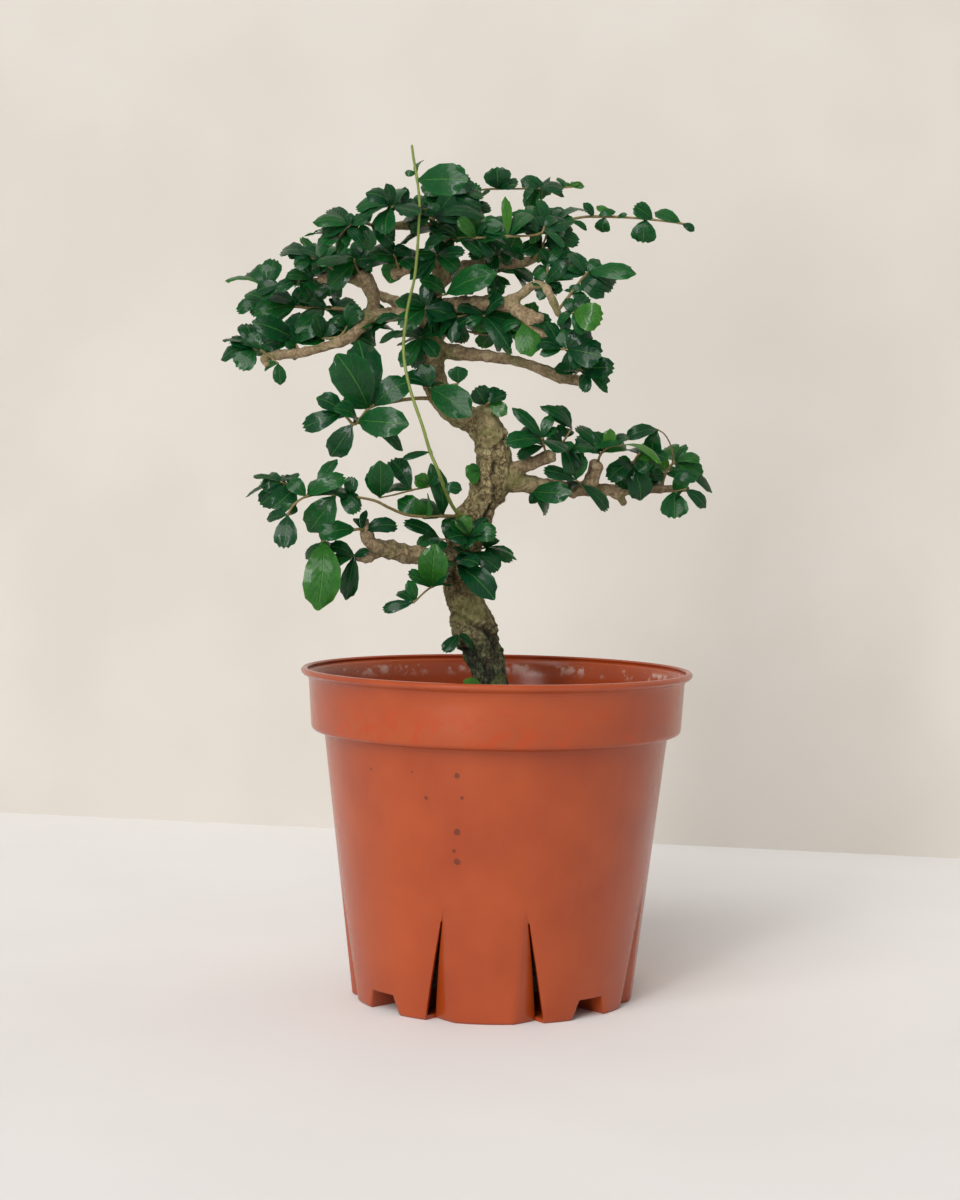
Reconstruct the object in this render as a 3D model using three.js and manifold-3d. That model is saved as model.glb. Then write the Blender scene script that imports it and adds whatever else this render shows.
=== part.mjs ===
// A small bonsai tree (Fukien tea habit) in a fluted terracotta-coloured nursery pot.
// Millimetres, +Z up, +X right, -Y front. The origin is the centre of the pot's foot circle, on the floor.
// Pieces: the pot, the soil in it, the woody trunk with its branches, and one spray for each green twig.

import * as THREE from 'three';
import { ConvexGeometry } from 'three/addons/geometries/ConvexGeometry.js';
import { mergeVertices } from 'three/addons/utils/BufferGeometryUtils.js';
import Module from 'manifold-3d';

// ---------------------------------------------------------------- driving dimensions

const GAP = 0.3;                 // clearance between pieces that touch

const POT_HEIGHT = 134;
const RIM_RADIUS = 80;           // outside of the rolled lip
const RIM_HEIGHT = 3;
const RIM_ROUND = 0.9;           // the lip's edge stands out this much past its top and bottom
const MOUTH_RADIUS = 76;         // inside of the lip
const BAND_TOP_RADIUS = 76.8;
const BAND_LOW_RADIUS = 75.6;
const BAND_HEIGHT = 25.4;
const BAND_ROUND = 2;            // rounded lower edge of the band
const BAND_ROUND_STEPS = 3;
const BAND_STEP = 0.6;           // the band is this much thicker inside at its foot
const WALL_TOP_RADIUS = 70.3;    // body wall just under the band
const FOOT_RADIUS = 57.5;
const WALL = 1.6;
const POT_SEGMENTS = 36;

const PANELS = 4;
const PANEL_TURN = -2.7;         // degrees, the front panel's centre, from -Y towards +X
const FLUTE_HEIGHT = 46;
const FLUTE_TOP_ANGLE = 14.5;    // degrees from the panel centre to the flute's top point
const FLUTE_CREASE_ANGLE = 11.4; // panel edge at the foot
const FLUTE_SLIT_ANGLE = 23.2;   // edge of the wall beside the flute, at the foot
const FLUTE_DEPTH = 6;           // how far the flute's face runs in behind that edge, at the foot
const FOOT_CHANNEL_WIDTH = 15;
const FOOT_CHANNEL_HEIGHT = 8;
const FOOT_CHANNEL_FLARE = 1.5;  // each side opens this much towards the floor
const CENTRE_FOOT_RADIUS = 15;   // the flat pad in the middle of the base
const BASE_RECESS_RADIUS = 30;   // the ring-shaped recess round it
const FOOT_THICKNESS = 1.8;

const SOIL_EDGE_HEIGHT = 108;
const SOIL_MOUND = 5;            // rise from the wall to the trunk
const SOIL_SHOULDER = [0.45, 0.6]; // share of the rim's radius where the mound has this share of its rise

const TRUNK_SIDES = 9;
const BRANCH_SIDES = 5;
const TWIG_SIDES = 4;

const LEAF_THICKNESS = 0.6;
const TOOTHED_LENGTH = 10.5;     // leaves at least this long and this wide have toothed tips
const TOOTHED_WIDTH = 6.5;
const GOLDEN_ANGLE = 137.508;    // degrees from one leaf to the next round a twig
const FAR_LEAF_WIDTH = 0.55;     // width of a far leaf as a share of its length
const LOW_SHARE = 0.3;           // bare share of a far twig below its first leaf
const FAR_LEAF_RISE = 0.7;       // far leaves spread this much less up and down than sideways,
const FAR_LEAF_LEAN = 0.5;       // lean this much towards the twig's end,
const FAR_LEAF_LIFT = 0.25;      // and this much upwards
const FAR_LEAF_LENGTHS = [0.75, 0.4, 0.618]; // shortest, spread of lengths, and step from leaf to leaf

// The tree is drawn as a fan seen from the front, then given depth. At each height [z, twist], wood left of
// the axis comes forward and wood right of it goes back by this share of its reach, or the reverse where
// negative. The outline is as it looks from VIEW_DISTANCE in front of (VIEW_X, VIEW_Z).
const VIEW_DISTANCE = 900;
const VIEW_X = 2;
const VIEW_Z = 205;
const TWIST_AXIS_X = -18;
const TIER_TWIST = [
  [110, 0], [165, 0.3], [190, 0.5], [208, 0.35], [235, 0.15], [262, -0.35], [285, -0.45], [300, -0.1],
  [318, 0.35], [346, 0.35],
];
const SPRAY_SWING = [-0.7, 0.15, 0.8, -0.3]; // rise in y for each mm a twig reaches, taken in turn
const SWING_REACH = 22;                      // and no further than this
const LEAF_SWING = 0.45;                     // y from base to tip, as a share of the leaf's length, at most

const DEGREE = Math.PI / 180;

// Old wood, from the root collar up: [name, [x, y, z, radius] at each station].
const LIMBS = [
  ["trunk", [
    [1, 0, 84, 7], [1.5, 0, 100, 8.6], [0.5, 0, 113, 7.8], [-1.2, 0, 124, 6.8], [-3.3, 0, 133, 6.8],
    [-6, 0, 141, 7.8], [-9.3, 0, 150, 8.4], [-12.6, 0, 159, 7.9], [-15, 0, 167, 7.6], [-16, 1, 176, 7.4],
    [-14.5, 2, 185, 7.2], [-11.5, 2, 193, 6.9], [-8, 1, 200, 6.8], [-4.5, 0, 207.5, 6.9], [-2.5, 0, 215, 7],
    [-3, 0, 223, 6.8], [-5.5, 1, 230, 6.2], [-11, 3, 235, 5.3], [-18, 4, 237.5, 4.9], [-24, 5, 243, 4.8],
    [-27.5, 5, 251, 4.9], [-28.3, 4, 260, 5.2], [-29, 3, 269, 5], [-29.5, 2, 279, 4.6], [-28, 1, 288, 4],
    [-24.5, 1, 297, 3.6], [-23, 0, 306, 3], [-25, 0, 315, 2.6], [-24, 0, 325, 2]]],
  ["root_right", [[1, 0, 106, 6.5], [11, -5, 100, 4.6], [25, -11, 92, 3.4], [38, -14, 78, 2]]],
  ["root_left", [[0, 0, 106, 6.5], [-11, -6, 101, 4.6], [-25, -10, 93, 3.4], [-36, -13, 80, 2]]],
  ["root_back", [[1, 0, 106, 6.5], [-4, 11, 100, 4.6], [-9, 26, 91, 3.2], [-12, 38, 76, 2]]],
  ["old_leader_stub", [[-4, 0, 227, 5.6], [-5.5, -1, 235, 4.9], [-6, -2, 240, 4]]],
  ["lower_left", [
    [-15, 0, 177, 5], [-24, -3, 178.5, 3.7], [-34, -5, 180, 3.4], [-44, -6, 181.5, 3.7],
    [-51, -7, 183.5, 3.4], [-54, -7, 188, 2.6], [-55, -7, 194, 1.8]]],
  ["lower_left_snag", [[-48, -6, 182, 3], [-53, -6, 179.3, 2.4], [-58, -7, 178.3, 1.6]]],
  ["right", [
    [-3, 0, 211, 5.6], [5, -2, 211, 4.6], [12, -3, 209.5, 3.6], [21, -3, 208.8, 3.1], [30, -3, 207.5, 3.2],
    [40, -2, 207.8, 2.4], [50, -1, 207.5, 2.2], [60, 0, 208, 2], [70, 1, 208.5, 1.7], [77, 1, 208.6, 1.3]]],
  ["right_stub", [
    [-1, -1, 210, 4.6], [4, -3, 213.5, 3.6], [9, -4, 216.5, 2.9], [15, -6, 218.8, 2.7],
    [21, -7, 221.5, 2.6]]],
  ["right_hook", [[29, -3, 207.5, 3.1], [35, -5, 208.8, 3.2], [38, -6, 213, 3], [39.5, -6, 218.5, 2.5]]],
  ["right_snag", [[45, -1.5, 207.6, 2], [49, -2, 205, 1.8], [51, -2, 202, 1.2]]],
  ["mid_right", [
    [-28, 4, 263.5, 4.6], [-18, 6, 262.5, 3.2], [-8, 8, 261.5, 2.4], [2, 9, 260.2, 2.2],
    [11, 9, 258.2, 2.1],
    [17, 9, 256, 2.5], [23, 8, 253.8, 2.7], [30, 8, 252, 2.3], [36, 8, 251.5, 1.6]]],
  ["upper_right", [
    [-29, 2, 277, 4.4], [-20, -1, 281.5, 3.4], [-10, -3, 282.3, 3.1], [0, -4, 282.5, 3],
    [8, -5, 279.5, 2.6],
    [16, -6, 276.5, 2.1]]],
  ["upper_right_drop", [[5, -5, 280.5, 2], [12, -6, 274.5, 1.9], [18, -6, 269, 1.8], [23, -6, 265.5, 1.5]]],
  ["upper_right_hook", [
    [1, -4, 283, 2.4], [7, -4, 286, 2], [12, -4, 290, 1.9], [17, -5, 289.5, 1.9], [20, -6, 285, 1.7],
    [23, -6, 278.5, 1.5]]],
  ["inner_right", [
    [-28, 1, 289, 3.4], [-18, 10, 296, 2.8], [-5, 16, 299, 2.4], [8, 18, 299.5, 2.1], [13, 17, 301, 1.7]]],
  ["left", [
    [-29.5, 2, 278, 4], [-38, -1, 278.5, 3], [-47, -3, 277.6, 2.8], [-54, -4, 277, 2.8],
    [-58, -5, 272, 2.6],
    [-63, -6, 267.5, 2.4], [-72, -7, 264.2, 1.9], [-82, -7, 261.6, 2], [-92, -7, 260.4, 2],
    [-96.5, -7, 259, 1.8], [-95.5, -7, 256.2, 1.4]]],
  ["left_riser", [[-53, -4, 277, 2.6], [-52.5, -3, 284, 2.5], [-55, -2, 290, 3.2], [-58, -2, 294.5, 2]]],
  ["left_high", [[-24.5, 0, 311, 2.2], [-33, -1, 314, 1.9], [-43, -3, 313.5, 1.7], [-52, -4, 313, 1.4]]],
  ["left_mid", [[-55, -3, 290, 2.4], [-65, -5, 292, 1.8], [-75, -6, 291.5, 2]]],
  ["pale", [[-24, -1, 303, 2.2], [-28, -4, 300.3, 2.4], [-35, -5, 297.5, 2.1], [-44.5, -5, 293.8, 2.4]]],
  ["back_right", [[-28, 4, 266, 3.2], [-22, 17, 275, 2.6], [-15, 30, 284, 2]]],
  ["back_left", [[-29, 3, 272, 3], [-40, 16, 281, 2.3], [-54, 28, 287, 1.8]]],
];

// Green twigs and their leaves: [name, twig diameter, [x, y, z] along the twig, leaves, side twig if
// forked].
// A leaf is [base x, base z, tip x, tip z, width, y from base to tip, degrees its face is turned to the
// front].
const SPRAYS = [
  ["water_shoot", 1.3, [
    [-12, 0, 194], [-18, -6, 198.5], [-22, -8, 206], [-25, -9, 214], [-28.5, -9, 222], [-32, -10, 233],
    [-36, -11, 244], [-38.5, -12, 253], [-40, -12, 263], [-39.5, -12, 273], [-38, -13, 283],
    [-36, -13, 292], [-35, -12, 302], [-34.5, -11, 313], [-34.3, -10, 323], [-35.5, -9, 333],
    [-37, -8, 341], [-37.7, -8, 346]], [
    [-35.3, 332, -15, 332.5, 13, -2, 78], [-35.6, 333.5, -33.5, 340.5, 3.5, 2, 35],
    [-35.7, 334.8, -40.5, 334.8, 2.8, 0, 80], [-39.5, 275.5, -51.5, 275, 5.5, -2, 32],
    [-39.8, 271, -50, 266, 4.5, -1, 42], [-28.5, 222, -40, 219, 4, 0, 45],
    [-22.5, 208.5, -15.3, 206.8, 5, -1, 85]]],
  ["crown_peak", 1.2, [[-24, 0, 323], [-23.5, -3, 327], [-20, -5, 329]], [
    [-23, 327, -33, 328, 6, -1, 50], [-21, 329, -8, 325.5, 6.5, -5, 35], [-23.5, 326, -9, 321, 7, -4, 60],
    [-23.5, 326.5, -33.5, 321.5, 5.5, -2, 60]]],
  ["crown_long_twig", 0.9, [
    [-24, 1, 321], [-16, 4, 326.5], [-8, 5, 328.6], [2, 5, 329], [12, 5, 329.2], [22, 6, 329.6],
    [28, 6, 330.2]], [
    [-2.3, 329, -3, 337.5, 11, 0, 85], [17, 329.3, 6.5, 332.8, 7, -2, 65], [25, 330, 21.5, 334, 3.5, 3, 40],
    [27, 330.2, 32, 330.8, 4, 3, 50], [16, 329.3, 24.5, 326.3, 3.8, -2, 45],
    [14, 329.2, 8, 325.3, 4, -4, 35]]],
  ["crown_green_shoot", 1.2, [
    [-23, -1, 307], [-18, -7, 308.5], [-10, -9, 309.2], [0, -10, 309.8], [10, -10, 310.2],
    [15.5, -10, 311.5],
    [16.5, -10, 314]], [
    [-11, 309.3, -18, 317, 5.5, -2, 75], [3, 310, -9, 314.5, 7, -2, 62], [1.5, 310, 0.5, 326, 4.2, 2, 80],
    [14, 311, 3, 315, 5, 4, 25], [-11, 309.2, 2, 306.6, 5.5, -4, 15], [16, 312.5, 25, 306, 3.5, -2, 50],
    [16.5, 313.5, 21.5, 318, 5, 2, 60], [-18, 308.5, -42, 308.3, 7, -9, 20],
    [-19, 308.3, -32, 305, 5.5, -8, 40]]],
  ["left_high_tip", 1.2, [[-51, -4, 313], [-58, -6, 314.5], [-62.5, -6, 313.8], [-65.5, -6, 310.5],
    [-68, -5, 307.3]], [
    [-62.5, 313.8, -77.5, 315, 7.5, 5, 42], [-67.5, 308, -80.5, 309.3, 7, 8, 12],
    [-60, 314.4, -64.5, 318, 3.5, 1, 60],
    [-54, 313.5, -44, 310.5, 5.5, -5, 30], [-58, 314.3, -68, 302, 7, -5, 55],
    [-66.5, 309, -72.5, 305.3, 5.5, -3, 50],
    [-64, 312, -57.5, 306.5, 5, -5, 60]]],
  ["left_mid_tip", 1, [[-65, -5, 292], [-70, -6, 296], [-74, -7, 299], [-79, -7, 300.2]], [
    [-73, 298.5, -81, 304, 6, 2, 45], [-79, 300.2, -90.5, 300.8, 6, 5, 12],
    [-77.5, 299.8, -85, 296.3, 5.5, -3, 80],
    [-71, 297, -76.5, 301.5, 5, -3, 50]]],
  ["left_riser_tip", 1.1, [[-58, -2, 293.5], [-60, -5, 297.5], [-60.5, -7, 300]], [
    [-60.5, 299.5, -76, 297.8, 6.5, -1, 38], [-60.2, 298.5, -71, 288.3, 8.5, -4, 72],
    [-60.3, 299, -51.5, 300.3, 8, -5, 75],
    [-60.5, 300, -58, 305.5, 4.5, 0, 60]]],
  ["left_inner", 1.1, [[-42, -5, 294.5], [-43, -8, 298.5], [-44.5, -9, 302]], [
    [-43.5, 299.5, -54, 302.5, 6.5, -1, 50], [-43, 298.3, -57, 295.5, 6, -3, 22],
    [-44.5, 302, -37.5, 303.5, 5, -2, 50],
    [-44.3, 301.5, -49, 308, 6, 1, 45]]],
  ["left_far_top", 1.1, [[-74.5, -6, 291.5], [-82, -2, 290.8], [-90, 3, 289.3], [-96, 6, 287.7]], [
    [-96, 287.7, -113, 291.5, 5.5, 10, 20], [-91, 289, -100.5, 286.3, 6.5, -2, 60],
    [-83, 290.7, -92, 287, 6, -5, 50],
    [-77, 291.2, -88, 293.5, 6, 2, 50], [-86, 290.2, -82, 295.8, 5, 2, 60]]],
  ["left_low_back", 1.5, [[-53.5, -4, 278], [-66, -2, 279.6], [-78, 0, 279.8], [-90, 1, 281],
    [-96, 1, 282.5]], [
    [-96, 282.5, -108.3, 278.3, 6, 2, 60], [-91, 281.2, -96.5, 286.8, 4.5, 1, 60],
    [-80, 280, -72, 287.3, 6, -3, 60],
    [-85, 280.5, -80.5, 287.8, 6, -4, 60], [-68, 279.6, -71, 286.5, 4.5, 2, 25],
    [-72, 279.7, -84, 270, 7.5, -5, 62],
    [-84, 280.3, -101.5, 276.8, 10, -5, 65]]],
  ["left_low_front", 1, [[-82, -7, 261.5], [-84, -9, 265], [-85.5, -10, 268]], [
    [-85, 267, -101, 274.3, 10, -3, 60], [-85.5, 268, -103, 267.3, 8, -3, 45],
    [-84, 265.5, -75, 273, 7, -4, 65],
    [-83.5, 264.5, -88.5, 264.6, 3.5, -3, 70]]],
  ["mid_left", 1.6, [
    [-24, 3, 243], [-31, -2, 243.8], [-38, -5, 243.3], [-46, -8, 241.8], [-53, -10, 240], [-57, -11, 235.5],
    [-60, -11, 232.8], [-64.5, -11, 237.8]], [
    [-54, 239, -67, 261, 16, -2, 85], [-52.5, 240, -58.5, 267.5, 14, 5, 85],
    [-64.3, 237.5, -80.8, 231.5, 8, -2, 75],
    [-63, 236, -70.5, 241, 4.5, 3, 60], [-60.5, 233, -69.5, 219.5, 10, -2, 82],
    [-58, 234, -38.3, 233.5, 12.5, -7, 75],
    [-57.5, 234.5, -39, 223.3, 6.5, -3, 55], [-52, 240.3, -37.5, 251, 11, -5, 70]]],
  ["stub_tuft", 0.9, [[-6, -2, 239], [-6, -4, 241.5], [-4.5, -5, 242.5]], [
    [-6, 241.5, -10.5, 248.5, 8.5, -1, 80], [-5, 242.3, 0.5, 247.8, 7.5, 1, 80],
    [-4.7, 242.2, 2.6, 237.8, 6, -3, 85]]],
  ["centre_left", 0.9, [[-30, 3, 267], [-32.5, -4, 268.3], [-33, -7, 268.5]], [
    [-33, 268.5, -41, 256.5, 7, -1, 75], [-33, 268.4, -35.5, 255, 6, 1, 80]]],
  ["pale_tuft", 0.9, [[-28.5, -4, 300], [-27.5, -9, 301.5], [-27, -10, 302]], [
    [-27, 302, -15.5, 303, 6, -5, 55], [-27.2, 301.7, -38, 292, 6, -6, 60]]],
  ["inner_tuft", 1, [[-5, 16, 299], [-3, 9, 302], [-1, 5, 304]], [
    [-1.5, 303.5, -14, 302, 7, -1, 45], [-1, 304, 9, 301.5, 6, -2, 50],
    [-2.5, 302.5, -6, 294.5, 6, -3, 70]]],
  ["right_crown", 1.1, [[12, 17, 300.5], [15, 8, 305], [17, 3, 309], [18, 1, 312.5]], [
    [16, 306.5, 7.5, 303.8, 7, -3, 60], [18, 312, 28.5, 311.5, 8, -3, 70],
    [17.5, 310.5, 31, 307.8, 6.5, 0, 80],
    [17.7, 311.5, 3, 320, 6.5, 2, 50], [18, 312.5, 9.5, 323, 6, 4, 55], [18, 312.5, 14, 325.5, 5, 7, 60],
    [18, 312.5, 33.5, 322.3, 5, 9, 35]]],
  ["long_right_twig", 1.2, [
    [13, 16, 301], [19, 12, 309], [24, 8, 315.5], [32, 5, 318], [42, 3, 318.3], [52, 2, 318],
    [62, 1, 317.2],
    [70, 0, 316.3], [73.5, 0, 315.7]], [
    [60.5, 317.4, 52.8, 323, 6.8, 1, 80], [72, 316, 61, 320.8, 5.5, 0, 60],
    [57.5, 317.5, 56.5, 308, 10.3, -1, 86],
    [72.5, 316, 77.3, 313.3, 3.6, -1, 60], [41, 318.2, 39.8, 311.8, 6.3, -1, 82],
    [36.5, 318.2, 32.3, 323.8, 4, 1, 60],
    [38, 318.2, 45.2, 320.8, 3.4, -1, 60], [44, 318.2, 37.5, 322.9, 3.6, 2, 60],
    [46, 318.2, 50, 319.5, 2.2, 0, 60],
    [27, 316.5, 34, 312.8, 3.2, -2, 50], [25, 316, 21, 322, 5, 2, 60]]],
  ["right_green_stem", 1, [[17.5, -5, 289], [18, -8, 296], [18.5, -8, 303], [19, -8, 308]], [
    [18, 292, 25, 299.5, 6.5, -2, 70], [18.3, 298, 25.5, 305.5, 6, -2, 70],
    [18, 297, 13.3, 291, 4.5, -1, 80],
    [18.6, 305, 35, 298.5, 6.5, 1, 60], [18, 290.5, 24.5, 288.3, 4.5, -3, 75],
    [16.5, 290, 15, 284.5, 4.5, -2, 75]]],
  ["right_spur", 1.3, [[22.5, -6, 280], [27, -6, 286], [31, -5, 291.5], [34.5, -4, 295.8]], [
    [34.5, 295.8, 54, 295.7, 7.5, 1, 60], [34.3, 295.5, 38.5, 301.3, 3.8, 0, 70],
    [33.5, 294.5, 27, 304, 6, 3, 55],
    [32, 292.5, 41, 286, 7, -1, 82], [28, 287.3, 34, 284.5, 5, -3, 70]]],
  ["right_round", 0.9, [[22.5, -6, 278], [26, -8, 279], [29, -9, 279.5]], [
    [29, 279.5, 40.5, 277, 11.5, -1, 86], [27, 279.2, 24, 272.5, 6, -2, 80],
    [28.5, 279.4, 34, 271, 7, -3, 80],
    [29, 279.5, 35, 286, 6, 2, 80]]],
  ["right_drop_tip", 0.9, [[22, -6, 266], [24.5, -8, 264.5], [27, -9, 264.5]], [
    [27, 264.5, 40.5, 262, 12, -2, 72], [24, 264.8, 18, 275.5, 6.5, -3, 65],
    [24.5, 264.5, 15.5, 262.3, 4.5, -2, 60],
    [26.5, 264.5, 34, 272.5, 7, 1, 75]]],
  ["under_limb_mid", 0.8, [[9, -5.5, 277.5], [8.5, -8, 275.5], [8.4, -8.5, 275]],
    [[8.4, 275, 12, 261.5, 10.5, -1, 86]]],
  ["mid_right_tip", 1, [[29, 8, 252.5], [30.5, 4, 255], [32, 1, 256.5], [36, -2, 254]], [
    [31.5, 256, 45.5, 257.5, 9, -3, 70], [34.5, 255, 44.5, 252, 5.5, -1, 60],
    [36, 254, 43.5, 247.3, 3.8, -2, 60],
    [35.5, 254.3, 34, 247.3, 5, -2, 80], [30.5, 255, 21.5, 257, 6, -4, 60],
    [31.5, 256.2, 36.5, 266, 9, 2, 75]]],
  ["right_inner", 1, [[19, -7, 220.5], [18, -9, 224.5], [17, -10, 228.5]], [
    [17.3, 227.5, 2, 226.5, 8, -2, 60], [17.8, 225, 6.5, 220.8, 5.5, -3, 62],
    [17, 228.5, 5, 240.8, 5.5, -1, 62],
    [17, 228.5, 20.5, 237.5, 5, 2, 75]]],
  ["right_middle", 1, [[21, -7, 221.5], [25, -9, 226], [29, -9, 232.5]], [
    [29, 232.5, 17, 241.8, 5, 0, 52], [24.5, 226, 21, 232, 4.5, -2, 70],
    [26.5, 228.7, 23.5, 234, 4.5, 1, 70],
    [25.5, 227, 28.5, 224, 5, -5, 60], [25, 226.3, 31, 213, 8, -4, 80]]],
  ["right_low_leaf", 0.9, [[14, -3, 209.5], [13, -7, 207.3], [12.7, -8, 206.5]], [
    [12.7, 206.5, 29.3, 206.3, 9, -2, 75], [12.7, 206.5, 15, 201.5, 5, 0, 80]]],
  ["right_hook_low", 0.9, [[33, -4, 208], [33, -9, 210], [31, -10, 211.5]], [
    [31, 211.5, 17.8, 215.5, 6.5, -1, 58], [33, 210, 44.7, 199, 5.5, -1, 75]]],
  ["right_hook_top", 1, [[39.5, -6, 217.5], [41, -8, 222], [44, -9, 225], [49.5, -9, 226]], [
    [44.5, 225.2, 44.8, 232.5, 5, 0, 85], [41.5, 223, 31, 234.3, 5.5, 3, 60],
    [41, 222, 28.5, 225.3, 6.5, -3, 38],
    [43, 224.3, 38, 231.3, 5, 0, 62], [47, 225.6, 51.5, 230.8, 5.5, 1, 60],
    [49.5, 226, 65.8, 219.8, 4.8, -3, 28]]],
  ["right_pad", 1.1, [[54, -0.5, 208], [54, -4, 214], [55, -6, 220], [57, -6, 223]], [
    [57, 223, 68.3, 221, 5.5, 3, 60], [54.5, 216.5, 58, 203.5, 10, -4, 76],
    [54.8, 218.5, 44, 212.5, 9, -5, 60],
    [55, 219.5, 60.5, 215.5, 5, -4, 75], [56.5, 222.5, 61.5, 226.5, 5, 4, 60],
    [54.3, 216, 48, 220.5, 6, 1, 50]]],
  ["right_pad_end", 1.2, [[66, 0.5, 208.3], [67, -2, 213], [68.5, -3, 217], [71.5, -4, 219.3]], [
    [71.5, 219.3, 81.5, 221.3, 5.5, 3, 50], [71, 219, 83, 214.3, 7.5, -3, 70],
    [71.3, 219.2, 75.5, 227, 5, 4, 50],
    [67.5, 214.5, 80, 213, 5.5, -6, 60], [71.5, 219.2, 87.3, 207.3, 4.5, 1, 52],
    [68.3, 216.5, 66.3, 221.5, 3.5, -3, 80],
    [67.3, 214, 61, 213.5, 6, -3, 60]]],
  ["arching_stalk", 0.7, [[67.8, -2, 214.5], [70.5, 1, 220], [69.5, 2, 226], [67, 2, 230.5],
    [64, 1, 232.5]], [
    [64, 232.5, 50.8, 229.3, 6.5, 0, 58]]],
  ["right_limb_end", 0.9, [[69, 1, 208.4], [71, -4, 207.5], [76, -5, 208.5]], [
    [71, 207.5, 71.5, 196.3, 11.3, -2, 88], [75.5, 208.5, 84.7, 201, 5.5, -1, 72]]],
  ["lower_left_low", 1.1, [[-54, -7, 189.5], [-58, -9, 190], [-64, -10, 188], [-70, -10, 185.8],
    [-72.5, -10, 184.5]], [
    [-58.5, 190, -73.5, 187.5, 9, 1, 60], [-55, 190, -41.3, 192.3, 7.5, -3, 55],
    [-56, 190, -54.5, 198, 3.5, 1, 60],
    [-71.5, 185, -73.8, 157.3, 15, -2, 88], [-72.5, 184.5, -79, 177.5, 4.5, 3, 60]]],
  ["lower_left_snag_tuft", 0.9, [[-57, -7, 178.5], [-58.5, -9, 179.3], [-59.5, -10, 179]], [
    [-59.5, 179, -69.5, 175.3, 6.5, 1, 50], [-58.8, 179.2, -62.3, 160.8, 7.5, -2, 80],
    [-59.3, 179.2, -69, 183.5, 6.5, -3, 55]]],
  ["lower_left_high", 1.3, [
    [-12, 1, 195], [-20, -2, 196], [-30, -3, 195.6], [-38, -5, 196.3], [-45, -7, 199], [-51, -8, 201.8],
    [-60, -8, 203.3], [-70, -8, 204.2], [-79, -8, 203], [-84, -8, 199.5], [-86.5, -8, 195.5]], [
    [-86.5, 195.3, -88, 181.8, 9.5, 0, 85], [-74, 204, -66.8, 219, 6, 2, 60],
    [-78, 203.3, -63, 211.5, 7.5, -2, 68],
    [-61, 203.4, -60.5, 211.3, 5.8, -1, 85], [-67, 204, -78, 188.5, 12.5, -4, 85],
    [-65, 203.8, -58.3, 196.8, 6.5, -3, 75],
    [-83.5, 200, -92, 194.5, 5.5, 3, 60], [-30, 195.6, -41.5, 202.5, 8.5, -3, 80],
    [-23, 196, -27.5, 217, 7.5, 2, 72],
    [-79, 203, -86, 210, 7, -3, 75]]],
  ["lower_left_tip", 0.9, [[-79, -8, 203.3], [-84, -5, 206.3], [-89.5, -4, 209]], [
    [-89.5, 209, -101, 211, 4.8, 3, 25], [-86, 207.3, -82.5, 213, 4, 2, 50],
    [-88.5, 208.5, -97.5, 207, 6.5, -1, 80],
    [-89.3, 209, -104, 202.5, 3.5, 6, 22], [-88, 208.3, -98, 199.3, 8.5, -3, 80],
    [-84, 206.3, -92.5, 198.5, 10, -4, 85]]],
  ["lower_left_fork", 0.9, [[-24, -8, 211], [-29, -13, 208], [-36, -13, 206.3], [-43, -13, 204.3],
    [-49, -13, 203]], [
    [-49, 203, -49, 218, 10.5, -1, 85], [-36, 206.3, -44.5, 219.3, 8.5, -2, 80],
    [-29, 208, -34.5, 212, 6.5, -3, 85]]],
  ["trunk_right_tuft", 0.9, [[-14, 0, 180], [-10, -9, 181.8], [-5, -10, 183.5]], [
    [-5, 183.5, 7.7, 178.8, 3.2, -1, 22], [-6, 183.2, 0, 187, 3, 2, 40],
    [-10.5, 181.6, 0.3, 174.5, 8.5, -3, 66]]],
  ["trunk_dark_leaf", 0.9, [[-15, 0, 175], [-17, -9, 176], [-17, -11, 176]],
    [[-17, 176, -1.3, 162.5, 11.5, -1, 62]]],
  ["trunk_low_twig", 1, [[-15.5, 0, 168], [-22, -8, 168.3], [-28, -10, 166.3], [-34.5, -11, 160.3]], [
    [-27, 166.8, -26, 184, 12, -2, 82], [-24, 168, -35.3, 171.5, 5.5, -3, 50],
    [-34.5, 160.3, -47.3, 157.3, 5.5, -1, 62],
    [-33.5, 161.5, -36.8, 169.5, 5, 1, 75]]],
  ["trunk_bud", 0.8, [[-10, 0, 147], [-15, -8, 147.3], [-16, -9, 147.5]],
    [[-16, 147.5, -22, 140.3, 5.5, -1, 80]]],
  ["trunk_side_leaf", 0.8, [[-3, 0, 214], [-7, -8, 214.5], [-8, -9, 214.5]],
    [[-8, 214.5, -13.8, 212.5, 8, 0, 86]]],
  ["base_sprout", 0.8, [[-1, 0, 119], [-3, -13, 121.5], [-5.5, -20, 126]],
    [[-5.5, 126, -13.5, 128.3, 4.5, -3, 60]]],
  ["crown_left_high", 1.3, [[-24.5, 0, 317.5], [-33, -3, 320.5], [-41, -5, 321.5], [-46, -6, 321]], [
    [-46, 321, -60, 321, 6.5, 2, 40], [-44, 321.2, -52.5, 325.8, 5, 2, 50],
    [-40, 321.5, -40.3, 329.3, 3.8, 1, 80],
    [-45, 321, -58.5, 317.3, 6.5, -4, 35], [-42, 321.3, -36, 319, 5.5, -4, 60],
    [-37, 321, -32.5, 325.5, 5, 1, 60],
    [-28.5, 316.5, -15, 316.8, 6.5, -3, 50], [-29.5, 317, -42, 315.3, 5, 4, 40],
    [-28, 317, -8, 318.5, 6.5, 6, 45], [-30, 317, -27, 323, 5, -2, 60]], [
    [-28, -1.3, 318.7], [-28.5, -6, 316.5], [-30, -8, 317]]],
  ["left_tip", 1, [[-95, -7, 259.5], [-98, -8, 262.3], [-102, -8, 263]], [
    [-101, 263, -114, 266.8, 5, 6, 15], [-98, 262.3, -107, 267, 6, -1, 40],
    [-102, 263, -114.8, 258.8, 6.5, 2, 50],
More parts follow.
